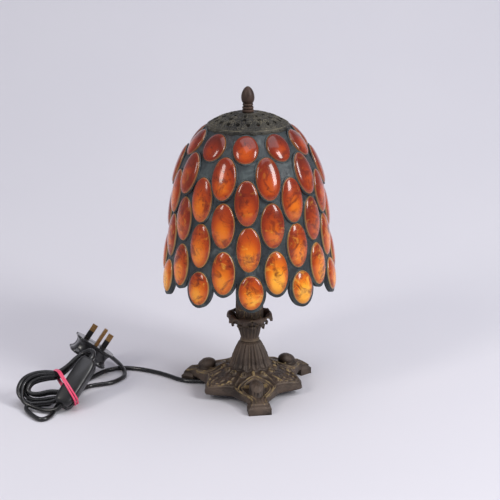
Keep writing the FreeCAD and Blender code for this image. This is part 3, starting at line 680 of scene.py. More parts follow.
# ---- Geometry Nodes: copies round the lamp's axis ----------------------------------------------
class RingCopies:
    """A node tree that sets copies of a template piece round the lamp's axis."""

    def __init__(self) -> None:
        """Build the tree and remember its sockets."""
        tree = bpy.data.node_groups.new("ring_of_copies", "GeometryNodeTree")
        face = tree.interface
        self.sockets = {}
        for name, kind in (("Template", "NodeSocketObject"), ("Count", "NodeSocketInt"),
                           ("Start", "NodeSocketFloat"),
                           ("Seed", "NodeSocketInt"), ("Finish", "NodeSocketMaterial")):
            self.sockets[name] = face.new_socket(name, in_out="INPUT", socket_type=kind).identifier
        face.new_socket("Geometry", in_out="OUTPUT", socket_type="NodeSocketGeometry")
        add = tree.nodes.new
        link = tree.links.new
        given, out = add("NodeGroupInput"), add("NodeGroupOutput")
        info = add("GeometryNodeObjectInfo")
        link(given.outputs["Template"], info.inputs["Object"])
        points = add("GeometryNodePoints")
        link(given.outputs["Count"], points.inputs["Count"])
        index = add("GeometryNodeInputIndex")
        step = self.maths(tree, "DIVIDE", None, None, TAU)
        link(given.outputs["Count"], step.inputs[1])
        turn = self.maths(tree, "MULTIPLY_ADD", index.outputs[0], step.outputs[0])
        link(given.outputs["Start"], turn.inputs[2])
        euler = add("ShaderNodeCombineXYZ")
        link(turn.outputs[0], euler.inputs["Z"])
        place = add("GeometryNodeInstanceOnPoints")
        link(points.outputs[0], place.inputs["Points"])
        link(info.outputs["Geometry"], place.inputs["Instance"])
        link(euler.outputs[0], place.inputs["Rotation"])
        tone = add("FunctionNodeRandomValue")
        link(given.outputs["Seed"], tone.inputs["Seed"])
        link(index.outputs[0], tone.inputs["ID"])
        store = add("GeometryNodeStoreNamedAttribute")
        store.domain = "INSTANCE"
        store.inputs["Name"].default_value = "stone_tone"
        link(place.outputs[0], store.inputs["Geometry"])
        link(next(s for s in tone.outputs if s.enabled), store.inputs["Value"])
        real = add("GeometryNodeRealizeInstances")
        link(store.outputs[0], real.inputs[0])
        dress = add("GeometryNodeSetMaterial")
        link(real.outputs[0], dress.inputs["Geometry"])
        link(given.outputs["Finish"], dress.inputs["Material"])
        link(dress.outputs[0], out.inputs[0])
        self.tree = tree

    @staticmethod
    def maths(tree: bpy.types.NodeTree, what: str, first: object, second: object,
              value: float | None = None) -> bpy.types.Node:
        """Add a Math node to a tree.

        Args:
            tree: Tree to add to.
            what: Operation.
            first: Socket for the first input.
            second: Socket for the second input.
            value: Constant for the first input.

        Returns:
            The new node.
        """
        made = tree.nodes.new("ShaderNodeMath")
        made.operation = what
        if value is not None:
            made.inputs[0].default_value = value
        for socket, source in zip(made.inputs, (first, second)):
            if source is not None:
                tree.links.new(source, socket)
        return made

    def ring(self, name: str, template: bpy.types.Object, count: int, start: float, finish: Finish,
             seed: int = 1) -> bpy.types.Object:
        """Make the copies and keep them as one plain mesh.

        Args:
            name: Name of the piece.
            template: One copy in place, which is removed.
            count: Number of copies.
            start: Turn of the first copy in degrees.
            finish: Finish of the copies.
            seed: Seed of the copies' tone.

        Returns:
            The plain mesh of all copies.
        """
        host = bpy.data.objects.new(name + "_host", bpy.data.meshes.new(name))
        bpy.context.scene.collection.objects.link(host)
        modifier = host.modifiers.new("copies", "NODES")
        modifier.node_group = self.tree
        for key, value in (("Template", template), ("Count", count), ("Start", math.radians(start)),
                           ("Seed", seed), ("Finish", Paint.get(finish))):
            modifier[self.sockets[key]] = value
        bpy.context.view_layer.update()
        made = baked(host)
        made.name = name
        bpy.data.objects.remove(template)
        return made


# ---- flex, switch, band and plug -----------------------------------------------------------------
@dataclass
class HankFrame:
    """Axes of the tied turns: along, up the slope, and out of the face."""

    origin: Point = (-248.0, -57.0, 2.5)
    along: Point = (0.995, 0.102, 0.0)
    face: Point = (0.073, -0.714, 0.697)

    def __post_init__(self) -> None:
        """Square the axes up."""
        self.a = Vector(self.along).normalized()
        face = Vector(self.face)
        self.f = (face - self.a * self.a.dot(face)).normalized()
        self.u = self.f.cross(self.a)

    def at(self, along: float, up: float, front: float) -> Point:
        """Point in millimetres from the frame's own coordinates."""
        return tuple(Vector(self.origin) + self.a * along + self.u * up + self.f * front)


@dataclass
class Flex:
    """The whole free flex as one spline: lead, tied turns, switch, loose turn and tail."""

    hank: HankFrame
    diameter: float = 5.0
    length: float = 1820.0
    # height of the centre line on the floor, and depth of the switch's axis in front of the turns
    floor_lie: float = 2.55
    switch_front: float = 17.5
    lead: list[Point] = field(default_factory=lambda: [
        (-40.4, 7.1, 6.0), (-57.5, 9.4, 2.8), (-79.0, 12.8, 2.55), (-100.6, 33.5, 2.55), (-129.0, 50.0, 2.55),
        (-155.0, 55.4, 2.55), (-172.5, 46.0, 2.55), (-184.5, 28.0, 2.55), (-196.5, 8.0, 2.55),
        (-208.0, -13.0, 2.55), (-216.0, -31.0, 2.55), (-224.0, -45.4, 2.55)])
    # from the hank to the plug
    tail: list[Point] = field(default_factory=lambda: [
        (-198.2, -39.0, 7.2), (-198.5, -28.0, 4.5), (-196.0, -15.0, 2.7), (-188.5, -1.5, 2.55),
        (-175.0, 3.5, 2.55), (-162.0, 7.5, 2.55), (-151.0, 20.0, 2.55), (-146.5, 33.0, 2.9),
        (-153.0, 48.0, 8.0),
        (-164.0, 68.5, 8.2), (-177.0, 83.0, 13.0), (-192.73, 76.39, 22.33), (-191.24, 66.2, 24.41)])
    # outermost and innermost run of a turn, clockwise from the lower edge
    outer: list[Flat] = field(default_factory=lambda: [
        (24, 1.5), (12, 1.2), (0, 2.6), (-8, 8.5), (-11, 18), (-8, 28), (-1, 34.5), (10, 38.6), (23, 38.6),
        (32, 36.3), (44, 43.5), (57, 56.3), (67, 61), (74, 58.5), (75.3, 52), (69, 42), (60, 28), (50, 14.5),
        (37, 6)])
    inner: list[Flat] = field(default_factory=lambda: [
        (26, 17), (16, 14.5), (8, 14), (2.5, 16.5), (1, 21), (4, 26), (9, 29.3), (16, 31), (25, 32),
        (33.5, 31),
        (42, 36), (53, 48), (62, 54), (67, 52.5), (67, 47.5), (61.5, 38), (54, 26), (46.5, 18.5), (37, 17)])
    # how far each point of a turn follows its lane: the lanes fan out only at the loose left end
    fan: list[float] = field(default_factory=lambda: [
        1, 1, 1, 1, 1, 1, 1, 1, 1, 0.7, 0.4, 0.3, 0.25, 0.25, 0.25, 0.3, 0.35, 0.5, 0.8])
    # lane and thickness position of each turn
    lanes: list[Flat] = field(default_factory=lambda: [
        (0.05, -3.9), (0.5, -3.6), (0.95, -2.2), (0.98, 1.4), (0.52, 3.4), (0.02, 3.9)])

    def turn(self, index: int, start: int = 0, stop: int | None = None) -> list[Point]:
        """Control points of one tied turn, drifting towards the next turn's lane.

        Args:
            index: Number of the turn.
            start: First point to give.
            stop: Point to stop before.

        Returns:
            Points in millimetres.
        """
        lane, front = self.lanes[index]
        next_lane, next_front = self.lanes[min(index + 1, len(self.lanes) - 1)]
        count = len(self.outer)
        made = []
        for i in range(count)[start:stop]:
            t = i / count
            weight = (lane + (next_lane - lane) * t) * self.fan[i]
            depth = front + (next_front - front) * t
            spread = 0.55 * math.sin(2.1 * i + 1.7 * index)
            (ox, oy), (ix, iy) = self.outer[i], self.inner[i]
            made.append(self.hank.at(ox + (ix - ox) * weight + 0.4 * spread,
                                     oy + (iy - oy) * weight + spread * 0.5,
                                     depth + 0.25 * spread))
        return made

    def route(self) -> list[Point]:
        """All control points from the lamp to the plug, in millimetres."""
        at = self.hank.at
        points = list(self.lead)
        for index in range(3):
            points += self.turn(index)
        points += self.turn(3, 0, 12)
        # over the upper end, down through the switch and back along the floor
        points += [at(63.0, 59.8, 4.2), at(71.5, 60.5, 10.0), at(76.0, 54.0, 16.4),
                   at(70.6, 45.6, self.switch_front),
                   at(56.0, 22.2, self.switch_front), at(42.0, -0.3, self.switch_front),
                   at(34.6, -12.0, 16.8), at(20.0, -11.0, 12.6),
                   at(6.0, -3.5, 7.5), at(-6.0, 4.0, 5.0)]
        points += self.turn(4, 4)
        points += self.turn(5, 0)
        points += [at(26.0, 2.0, 3.9), at(12.0, 1.6, 4.2)]
        # loose turn on the floor, then under the band and out behind
        points += [(-247.5, -60.0, 7.2), (-249.0, -67.0, 3.6), (-240.0, -80.5, 2.6), (-227.5, -95.5, 2.6),
                   (-218.0, -84.0, 2.6), (-217.0, -67.0, 2.6), (-214.0, -52.0, 2.9), at(42.0, 6.2, -3.6)]
        # nothing lies lower than the floor
        return [(x, y, max(z, self.floor_lie)) for x, y, z in points + self.tail]

    def build(self) -> tuple[bpy.types.Object, np.ndarray]:
        """Make the flex and return it with the centre points of its spline."""
        curve = bpy.data.curves.new("flex", "CURVE")
        curve.dimensions = "3D"
        spline = curve.splines.new("NURBS")
        route = self.route()
        spline.points.add(len(route) - 1)
        for point, place in zip(spline.points, route):
            point.co = (place[0] * MM, place[1] * MM, place[2] * MM, 1.0)
        spline.order_u = 3
        spline.use_endpoint_u = True
        spline.resolution_u = 8
        made = bpy.data.objects.new("flex", curve)
        bpy.context.scene.collection.objects.link(made)
        bpy.context.view_layer.update()
        deps = bpy.context.evaluated_depsgraph_get()
        line = bpy.data.meshes.new_from_object(made.evaluated_get(deps), depsgraph=deps)
        centre = np.array([tuple(v.co) for v in line.vertices]) / MM
        bpy.data.meshes.remove(line)
        curve.bevel_depth = self.diameter / 2 * MM
        curve.bevel_resolution = 4
        curve.use_fill_caps = True
        Paint.on(made, Finish.SHEATH)
        LOG.info("flex: %d control points, %.0f mm", len(route),
                 np.linalg.norm(np.diff(centre, axis=0), axis=1).sum())
        return made, centre


@dataclass
class SwitchCase:
    """In-line switch: a rounded black slab in two halves with the flex through its ends."""

    hank: HankFrame
    length: float = 62.0
    width: float = 21.0
    thick: float = 16.0
    turn: float = 58.0
    centre: Flat = (54.2, 19.3)
    front: float = 17.5
    rounding: float = 3.2
    # 1 would make the plan an ellipse, 0 a rectangle
    corner_power: float = 0.42

    def at(self, along: float, across: float, out: float) -> Point:
        """Point from the case's own coordinates; out is away from the hank.

        Args:
            along: Distance from the middle along the case.
            across: Distance sideways.
            out: Distance away from the hank.

        Returns:
            The point in millimetres.
        """
        t = math.radians(self.turn)
        p = self.centre[0] + along * math.cos(t) + across * math.sin(t)
        q = self.centre[1] + along * math.sin(t) - across * math.cos(t)
        return self.hank.at(p, q, self.front + out)

    def half(self, name: str, low: float, high: float) -> bpy.types.Object:
        """Rounded slab between two depths, its far face crowned.

        Args:
            name: Name of the piece.
            low: Depth of the flat face.
            high: Depth of the crowned face.

        Returns:
            The closed half.
        """
        loops, count = [], 56
        sign = 1 if high > low else -1
        depth = abs(high - low)
        for k in range(9):
            t = k / 8
            inset = self.rounding * (1 - math.sqrt(max(0.0, 1 - max(0.0, (t - 0.45) / 0.55) ** 2)))
            loops.append((low + sign * depth * t, inset + (0.35 if k == 0 else 0.0)))
        points = []
        for out, inset in loops:
            half_l, half_w = self.length / 2 - inset, self.width / 2 - inset
            for j in range(count):
                c, s = math.cos(TAU * j / count), math.sin(TAU * j / count)
                points.append(self.at(half_l * math.copysign(abs(c) ** self.corner_power, c),
                                      half_w * math.copysign(
                    abs(s) ** self.corner_power, s), out))
        faces: list[Sequence[int]] = list(grid_faces(len(loops), count, True))
        faces += [tuple(range(count)), tuple(range((len(loops) - 1) * count, len(loops) * count))]
        return recalc(new_mesh(name, points, faces))

    def build(self) -> bpy.types.Object:
        """Make the front half."""
        made = self.half("switch_cover", 0.12, self.thick / 2 + 0.3)
        Paint.on(made, Finish.SWITCH)
        return made


@dataclass
class RubberBand:
    """Pink band in two strands round the hank and the switch."""

    hank: HankFrame
    centre: Flat = (43.0, 17.0)
    turn: float = 28.0
    outline: list[Flat] = field(default_factory=lambda: [
        (-7.2, -11.0), (-7.2, 8.0), (-7.0, 25.0), (1.0, 26.2), (7.0, 25.2), (26.3, 14.0), (26.9, 3.0),
        (26.9, -12.0),
        (26.2, -23.6), (18.0, -24.6), (9.4, -23.8)])

    def strand(self, shift: float, width: float, lean: float) -> bpy.types.Object:
        """One strand, at a shift along the hank.

        Args:
            shift: Place of the strand along the hank.
            width: Half width of the rubber.
            lean: How far the strand slants.

        Returns:
            The closed strand.
        """
        t = math.radians(self.turn)
        path = []
        for f, c in smooth_line(self.outline, 9, True):
            along = shift + lean * c / 25.0
            path.append(self.hank.at(self.centre[0] + along * math.cos(t) - c * math.sin(t),
                                     self.centre[1] + along * math.sin(t) + c * math.cos(t), f))
        axis = self.hank.a * math.cos(t) + self.hank.u * math.sin(t)
        return swept("strand", np.array(path), lambda s: (0.62 + 0.12 * math.sin(s * 40), width), 10, True,
                     tuple(axis))

    def build(self) -> bpy.types.Object:
        """Make both strands as one piece."""
        made = joined("pink_band", [self.strand(-1.1, 1.15, 0.35), self.strand(1.15, 1.05, -0.45)])
        Paint.on(made, Finish.BAND)
        return made


@dataclass
class Plug:
    """Three-pin plug: moulded body with a waist for the fingers, and its strain relief."""

    centre: Point = (-182.1, 44.4, 37.3)
    pin_axis: Point = (0.559, 0.244, 0.792)
    row_axis: Point = (0.8115, 0.0014, -0.573)
    half_width: float = 25.0
    near: float = 19.0
    far: float = 19.0
    relief_length: float = 20.0

    def __post_init__(self) -> None:
        """Square the axes up."""
        self.out = Vector(self.pin_axis).normalized()
        row = Vector(self.row_axis)
        self.row = (row - self.out * self.out.dot(row)).normalized()
        self.side = self.row.cross(self.out)
        if self.side.y > 0:
            self.side = -self.side

    def at(self, across: float, near: float, out: float) -> Point:
        """Point from the plug's own coordinates."""
        return tuple(Vector(self.centre) + self.row * across + self.side * near + self.out * out)

    def body(self) -> bpy.types.Object:
        """Moulded body as stacked outlines behind the pin face."""
        w, near, far = self.half_width, self.near, self.far
        plan = smooth_line([(-w, -far + 11), (-w + 0.6, -2), (-w + 1, near - 8), (-w + 7, near),
                            (0, near + 0.4),
                            (w - 7, near), (w - 1, near - 8), (w - 0.6, -2), (w, -far + 11),
                            (w - 8, -far + 3),
                            (9, -far), (-9, -far), (-w + 8, -far + 3)], 6, True)
        loops = [(-0.06, 1.6), (-0.06, 0.9), (-0.5, 0.25), (-1.4, 0.0), (-2.6, 0.2), (-3.4, 1.6),
                 (-5.0, 3.6), (-8.0, 4.6),
                 (-12.0, 4.6), (-15.0, 3.4), (-16.4, 1.6), (-17.2, 0.9), (-18.4, 1.0), (-19.5, 2.0),
                 (-20.0, 4.5)]
        points = []
        for out, inset in loops:
            for a, n in plan:
                waist = inset if out < -3 and abs(a) > 12 else min(inset, 2.0)
                blend = min(max((abs(a) - 10) / 8, 0), 1)
                shrink = waist * blend + min(inset, 1.8) * (1 - blend)
                scale_a, scale_n = 1 - shrink / w, 1 - shrink * 0.6 / near
                points.append(self.at(a * scale_a, n * scale_n, out))
        count = len(plan)
        faces: list[Sequence[int]] = list(grid_faces(len(loops), count, True))
        hub = len(points)
        points += [self.at(0, 0, loops[0][0]), self.at(0, 0, loops[-1][0])]
        last = (len(loops) - 1) * count
        for j in range(count):
            k = (j + 1) % count
            faces += [(hub, k, j), (hub + 1, last + j, last + k)]
        return recalc(new_mesh("plug_moulded_body", points, faces))

    def relief(self, centre: np.ndarray) -> bpy.types.Object:
        """Ribbed tapered sleeve along the last part of the flex.

        Args:
            centre: Points of the flex's centre line.

        Returns:
            The sleeve.
        """
        back = centre[::-1]
        lengths = np.concatenate([[0], np.cumsum(np.linalg.norm(np.diff(back, axis=0), axis=1))])
        steps = np.linspace(0.0, self.relief_length, 49)
        path = np.stack([np.interp(steps, lengths, back[:, k]) for k in range(3)], axis=1)

        def size(t: float) -> Flat:
            """Radius along the sleeve with its ribs."""
            r = 4.6 - 1.75 * t + 0.22 * math.sin(t * 2 * math.pi * 7)
            return (max(r, 2.62), max(r, 2.62))
        return swept("plug_strain_sleeve", path, size, 20, False, tuple(self.row))

    def build(self, centre: np.ndarray) -> tuple[bpy.types.Object, bpy.types.Object]:
        """Make the body and the strain relief.

        Args:
            centre: Points of the flex's centre line.

        Returns:
            The body and the sleeve.
        """
        body, sleeve = self.body(), self.relief(centre)
        Paint.on(body, Finish.PLUG)
        Paint.on(sleeve, Finish.PLUG)
        return body, sleeve


# ---- shade ---------------------------------------------------------------------------------------
@dataclass
class StoneRow:
    """One row of oval cabochons."""

    index: int
    radius: float
    height: float
    lean: float
    width: float
    length: float

    def basis(self) -> tuple[Vector, Vector, Vector]:
        """Centre, outward normal and upward tangent of the stone that faces the front."""
        tilt = math.radians(self.lean)
        return (Vector((0, -self.radius, self.height)), Vector((0, -math.cos(tilt), math.sin(tilt))),
                Vector((0, math.sin(tilt), math.cos(tilt))))


@dataclass
class Shade:
    """Domed shade: cabochons in a dark matrix, a bead round each, and a pierced cap."""

    rows: list[StoneRow] = field(default_factory=lambda: [StoneRow(k, *row) for k, row in enumerate([
        (57.4, 292.4, 38.0, 27.0, 33.0), (74.8, 264.6, 22.0, 26.5, 46.0), (80.8, 240.6, 12.0, 26.0, 48.0),
        (84.3, 216.2, 8.5, 26.0, 48.0), (87.4, 192.0, 8.0, 26.0, 48.0), (91.0, 166.1, 8.5, 26.0, 46.5),
        (94.2, 146.5, 9.0, 26.5, 36.5)])])
    per_row: int = 10
    twist: float = 0.62
    start: float = -0.8
    proud: float = 4.5
    wall: float = 4.0
    # a bead's distance from its stone, and its half width and half height
    bead_gap: float = 0.55
    bead_size: Flat = (1.0, 0.85)
    cap_rim_radius: float = 45.5
    cap_rim_z: float = 308.0
    cap_top_z: float = 322.0

    def angle(self, row: int) -> float:
        """Turn of a row's first stone in degrees."""
        return self.start + self.twist * (row - 3) + 36.0 * 0.5 * (row % 2)

    def stone(self, row: StoneRow) -> bpy.types.Object:
        """One cabochon in place, with its own oval coordinates.

        Args:
            row: Row that the stone is in.

        Returns:
            The stone that faces the front.
        """
        centre, normal, tangent = row.basis()
        rings = [(math.cos(a), math.sin(a) * self.proud) for a in np.linspace(math.pi / 2 - 0.001, 0.0, 13)]
        rings += [(1.0, -0.6), (0.99, -self.wall + 0.3), (0.9, -self.wall)]
        count = 44
        points, local = [], []
        for r, h in rings:
            for j in range(count):
                x, y = r * math.cos(TAU * j / count), r * math.sin(TAU * j / count)
                points.append(tuple(centre + Vector((1, 0, 0)) * (x * row.width / 2) + tangent
                                    * (y * row.length / 2)
                                    + normal * h))
                local.append((x, y, 0.0))
        faces: list[Sequence[int]] = list(grid_faces(len(rings), count, True, True))
        faces += [tuple(range(count)), tuple(range((len(rings) - 1) * count, len(rings) * count))[::-1]]
        made = new_mesh("stone", points, faces)
        attribute = made.data.attributes.new("stone_uv", "FLOAT_VECTOR", "POINT")
        attribute.data.foreach_set("vector", np.array(local, np.float32).ravel())
        low = made.data.attributes.new("stone_low", "FLOAT", "POINT")
        low.data.foreach_set("value", [row.index / 6.0] * len(points))
        return made

    def bead(self, row: StoneRow) -> bpy.types.Object:
        """Raised bead of filler that hugs one stone.

        Args:
            row: Row that the bead is in.

        Returns:
            The bead round the stone that faces the front.
        """
        centre, normal, tangent = row.basis()
        path = []
        for k in range(56):
            a = TAU * k / 56
            x, y = (row.width / 2 + self.bead_gap) * math.cos(a), (row.length / 2
                                                                   + self.bead_gap) * math.sin(a)
            sink = (x * x) / (2 * row.radius) + 0.0004 * y * y
            path.append(tuple(centre + Vector((1, 0, 0)) * x + tangent * y + normal * (-0.15 - sink * 0.85)))
        return swept("bead", np.array(path), lambda s: self.bead_size, 8, True, tuple(normal))

    def dome(self, radius: np.ndarray) -> np.ndarray:
        """Height of the cap's outer face at a radius.

        Args:
            radius: Distances from the axis.

        Returns:
            The heights.
        """
        rise = self.cap_top_z - self.cap_rim_z
        ball = (self.cap_rim_radius ** 2 + rise ** 2) / (2 * rise)
        return self.cap_top_z - ball + np.sqrt(ball ** 2 - radius ** 2)

    def filigree(self) -> bpy.types.Object:
        """Relief of scrolls and leaves over the pierced cap."""
        rows, columns = 92, 600
        r = np.linspace(10.4, 45.9, rows)[:, None] * np.ones((1, columns))
        theta = np.linspace(0, TAU, columns, endpoint=False)[None, :] * np.ones((rows, 1))
        step = TAU / 10
        local = (theta - math.radians(9.0) + step / 2) % step - step / 2
        mirrored = np.abs(local)
        # flat coordinates of one sector: across at its true width, and the radius
        u, v = mirrored * r, r
        height = np.zeros(r.shape)
        lines = [(spiral((5.3, 31.0), 5.0, 1.6, 200, -1), 0.85, 1.0),
                 (spiral((3.6, 40.8), 3.0, 1.4, 90, 1), 0.7, 0.9),
                 (spiral((3.9, 22.6), 2.9, 1.3, 250, -1), 0.6, 0.85),
                 ([(0.0, 11.0), (1.6, 15.0), (1.9, 19.0), (0.7, 23.0)], 0.6, 0.9),
                 ([(0.0, 26.0), (1.0, 30.0), (0.4, 36.5), (0.0, 44.0)], 0.65, 0.9),
                 ([(0.7, 36.0), (3.5, 36.6), (7.0, 36.2), (10.5, 37.8)], 0.6, 0.8),
                 ([(9.6, 26.0), (10.4, 31.0), (10.9, 35.0), (12.6, 41.5)], 0.6, 0.8),
                 ([(6.8, 42.6), (9.5, 40.4), (12.0, 43.0), (12.9, 46.0)], 0.6, 0.8)]
        for line, width, tall in lines:
            height = np.maximum(height, tall * np.exp(-(line_distance(u, v, line) / width) ** 2))
        height = height + 0.22 * lumps(r * np.cos(theta), r * np.sin(theta), 2.4, 5)
        rim = np.exp(-((r - 44.2) / 0.9) ** 2) + 0.9 * np.exp(-((r - 11.6) / 0.8) ** 2)
        height = np.maximum(height, rim)
        scallop = 46.0 - 0.9 * np.cos(theta * 12) ** 2
        edge = np.clip((r - 43.9) / 2.0, 0, 1)
        rr = np.where(r > 43.9, 43.9 + edge * (scallop - 43.9), r)
        z = self.dome(np.minimum(rr, 45.4)) + 0.12 + 0.85 * height * (1 - edge ** 3) - 2.6 * edge ** 3
        points = np.stack([rr * np.cos(theta), rr * np.sin(theta), z], axis=2).reshape(-1, 3)
        faces = grid_faces(rows, columns, True)
        hole = np.zeros(r.shape, bool)
        for radius, size, count, first in ((18.0, 1.75, 10, 9.0), (26.5, 2.25, 10, 9.0),
                                           (35.0, 2.0, 20, 0.0)):
            for k in range(count):
                a = math.radians(first) + TAU * k / count
                hole |= np.hypot(rr * np.cos(theta) - radius * math.cos(a),
                                 rr * np.sin(theta) - radius * math.sin(a)) < size
        gone = hole.reshape(-1)
        made = new_mesh("cap_filigree", points, [f for f in faces if not gone[list(f)].any()])
        set_relief(made, (height * 1.3 - 0.35).reshape(-1))
        return made

    def build(self, rings: RingCopies) -> list[bpy.types.Object]:
        """Make every row of stones, the beads and the cap's relief.

        Args:
            rings: The tree that repeats a template.

        Returns:
            All pieces of the shade.
        """
        made = []
        for row in self.rows:
            stones = rings.ring("cabochons_row_%d" % (row.index + 1), self.stone(row), self.per_row,
                                self.angle(row.index), Finish.STONE, 40 + row.index)
            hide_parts("stone_row_%d" % (row.index + 1))
            beads = rings.ring("beads_row_%d" % (row.index + 1), self.bead(row), self.per_row,
                               self.angle(row.index), Finish.MATRIX)
            made += [stones, beads]
        cap = self.filigree()
        Paint.on(cap, Finish.CAP)
        return made + [cap]


@dataclass
class Finial:
    """Turned acorn finial with a ringed neck."""

    profile: list[Flat] = field(default_factory=lambda: [
        (3.06, 322.22), (5.9, 322.22), (6.35, 322.7), (6.4, 324.2), (6.1, 324.8), (5.3, 325.1), (5.3, 325.5),
        (6.0, 325.9), (6.15, 326.8), (6.0, 327.8), (5.3, 328.2), (4.9, 328.5), (4.9, 328.9), (5.6, 329.3),
        (5.8, 330.2), (5.5, 331.1), (5.1, 331.6), (5.6, 332.2), (6.5, 333.7), (7.1, 335.8), (7.25, 338.0),
        (7.05, 340.3), (6.5, 342.6), (5.6, 344.9), (4.4, 347.0), (3.0, 348.6), (1.5, 349.6), (0.02, 350.0)])

    def build(self) -> bpy.types.Object:
        """Make the finial."""
        line = smooth_line(self.profile, 3)
        closed = [tuple(p) for p in line] + [(0.02, 337.2), (3.06, 337.2), (3.06, 322.22)]
        made = turned("acorn_finial", closed, 56)
        co = np.array([tuple(v.co) for v in made.data.vertices]) / MM
        radius = np.hypot(co[:, 0], co[:, 1])
        set_relief(made, np.where(co[:, 2] < 332, (radius - 5.6) / 0.6, 0.2))
        Paint.on(made, Finish.FINIAL)
        return made


# ---- base and stem -------------------------------------------------------------------------------
@dataclass
class CastBase:
    """Sculpted skin of the three-lobed base: skirt of folds, cartouches, pods, wings and feet."""

    turn: float = 7.7
    slope: list[Flat] = field(default_factory=lambda: [
        (9.1, 58.5), (12.0, 56.0), (15.8, 48.0), (18.6, 41.0), (20.3, 34.0), (23.0, 29.0), (30.0, 24.8),
        (45.0, 19.0), (60.0, 15.0), (72.0, 12.5), (90.0, 8.5)])
    rim_z: float = 7.7
    # inside this radius the skin follows the skirt, outside it the lobes
    skirt_reach: float = 33.0
    outer_ridge: list[Flat] = field(default_factory=lambda: [
        (29.5, 0.0), (32.0, 4.5), (36.5, 11.5), (41.5, 17.0), (47.0, 19.6), (52.5, 18.6), (58.5, 15.0),
        (64.0, 10.5),
        (68.5, 7.9), (73.0, 7.4), (79.0, 9.6)])
    inner_ridge: list[Flat] = field(default_factory=lambda: [
        (33.0, 0.0), (36.0, 5.0), (40.0, 10.8), (44.5, 14.6), (49.0, 15.8), (54.0, 14.4), (59.5, 10.6),
        (64.5, 6.4),
        (68.5, 4.0), (73.0, 3.4), (79.5, 5.2)])

    def plan(self) -> list[Flat]:
        """Outline of one third of the casting, from one wing tip to the next, lobe along +X."""
        half = [(80.5, 0.0), (79.5, 10.5), (73.0, 8.6), (62.0, 13.0), (52.0, 20.5), (43.0, 26.0),
                (39.5, 33.0),
                (34.5, 50.0), (31.5, 54.56)]
        return [(x, -y) for x, y in reversed(half[1:])] + half

    def reach(self, angles: np.ndarray) -> np.ndarray:
        """Distance from the axis to the outline at each lobe-local angle in radians.

        Args:
            angles: Angles from the lobe in radians.

        Returns:
            The distance at each angle.
        """
        line = np.array(self.plan())
        a = np.arctan2(line[:, 1], line[:, 0])
        out = np.zeros(angles.shape)
        for k in range(len(line) - 1):
            inside = (angles >= a[k] - 1e-9) & (angles <= a[k + 1] + 1e-9)
            (x0, y0), (x1, y1) = line[k], line[k + 1]
            c, s = np.cos(angles[inside]), np.sin(angles[inside])
            ex, ey = x1 - x0, y1 - y0
            out[inside] = (x0 * ey - y0 * ex) / (c * ey - s * ex)
        return out

    def edge_distance(self, x: np.ndarray, y: np.ndarray) -> np.ndarray:
        """Distance to the outline of a lobe."""
        return line_distance(x, y, self.plan())

    def relief(self, x: np.ndarray, y: np.ndarray, r: np.ndarray) -> np.ndarray:
        """Raised pattern over one lobe, in millimetres; x runs out along the lobe.

        Args:
            x: Distance out along the lobe.
            y: Distance across the lobe.
            r: Distance from the axis.

        Returns:
            The height of the pattern.
        """
        side = np.abs(y)
        tall = np.zeros(x.shape)
        for line, width, high in ((self.outer_ridge, 1.15, 1.7), (self.inner_ridge, 1.0, 1.4)):
            tall = np.maximum(tall, high * np.exp(-(line_distance(x, side,
                                                                  smooth_line(line, 4)) / width) ** 2))
        # middle spine and small arrow before the foot
        tall = np.maximum(tall, 0.9 * np.exp(-(line_distance(x, side, [(70, 0), (79, 0)]) / 0.8) ** 2))
        tall = np.maximum(tall, 0.9 * np.exp(-(line_distance(x, side, [(72.5, 0), (76, 2.6)]) / 0.7) ** 2))
        # nub above the cartouche's point
        nub = ((x - 26.8) / 3.0) ** 2 + (y / 1.9) ** 2
        tall = np.maximum(tall, 3.2 * np.sqrt(np.clip(1 - nub, 0, 1)))
        # curled leaves at the hem of the skirt and the flowing lines from them
        for line, width, high in ((spiral((26.5, 11.5), 4.0, 1.25, 60, -1), 1.0, 2.2),
                                  (spiral((19.5, 21.5), 4.0, 1.2, 100, 1), 1.0, 2.2),
                                  (spiral((34.0, 27.5), 3.2, 1.1, 30, 1), 0.9, 1.5),
                                  ([(28, 15), (35, 20), (43, 23.6), (50, 20.8), (58, 16.2)], 0.9, 1.2),
                                  ([(27, 22), (34, 32), (34, 42), (31, 49)], 1.0, 1.5),
                                  ([(26, 33), (29, 41), (30, 49)], 0.9, 1.1)):
            tall = np.maximum(tall, high * np.exp(-(line_distance(x, side, line) / width) ** 2))
        # pebbled wings
        wing = np.clip((side - 20) / 8, 0, 1) * np.clip((r - 33) / 6, 0, 1)
        tall = tall + wing * 0.8 * lumps(x, y, 4.6, 11)
        # raised lip along the edge of the casting
        lip = self.edge_distance(x, y)
        tall = np.maximum(tall, 1.1 * np.exp(-((lip - 2.2) / 1.1) ** 2) * np.clip((r - 34) / 8, 0, 1))
        return tall + 0.18 * lumps(x, y, 6.0, 3)

    def pod(self, x: np.ndarray, y: np.ndarray, ground: np.ndarray) -> tuple[np.ndarray, np.ndarray]:
        """Height of the ribbed oval pod above the slope, and where it is.

        Args:
            x: Distance out along the lobe.
            y: Distance across the lobe.
            ground: Height of the slope.

        Returns:
            The pod's height, and a value above 0 inside it.
        """
        a, b = (x - 55.5) / 9.8, y / 8.4
        inside = np.clip(1 - a * a - b * b, 0, 1)
        rib = 0.35 * np.cos(np.arctan2(y, (x - 55.5) * 0.85 + 0.01) * 10) * (inside < 0.8)
        seam = -0.7 * np.exp(-(y / 0.7) ** 2) * (inside > 0.1)
        top = 20.3 + 7.2 * np.sqrt(inside) - 0.28 * (x - 55.5) + rib * np.sqrt(inside) + seam
        return np.where(inside > 0, np.maximum(top - ground, 0), 0), inside

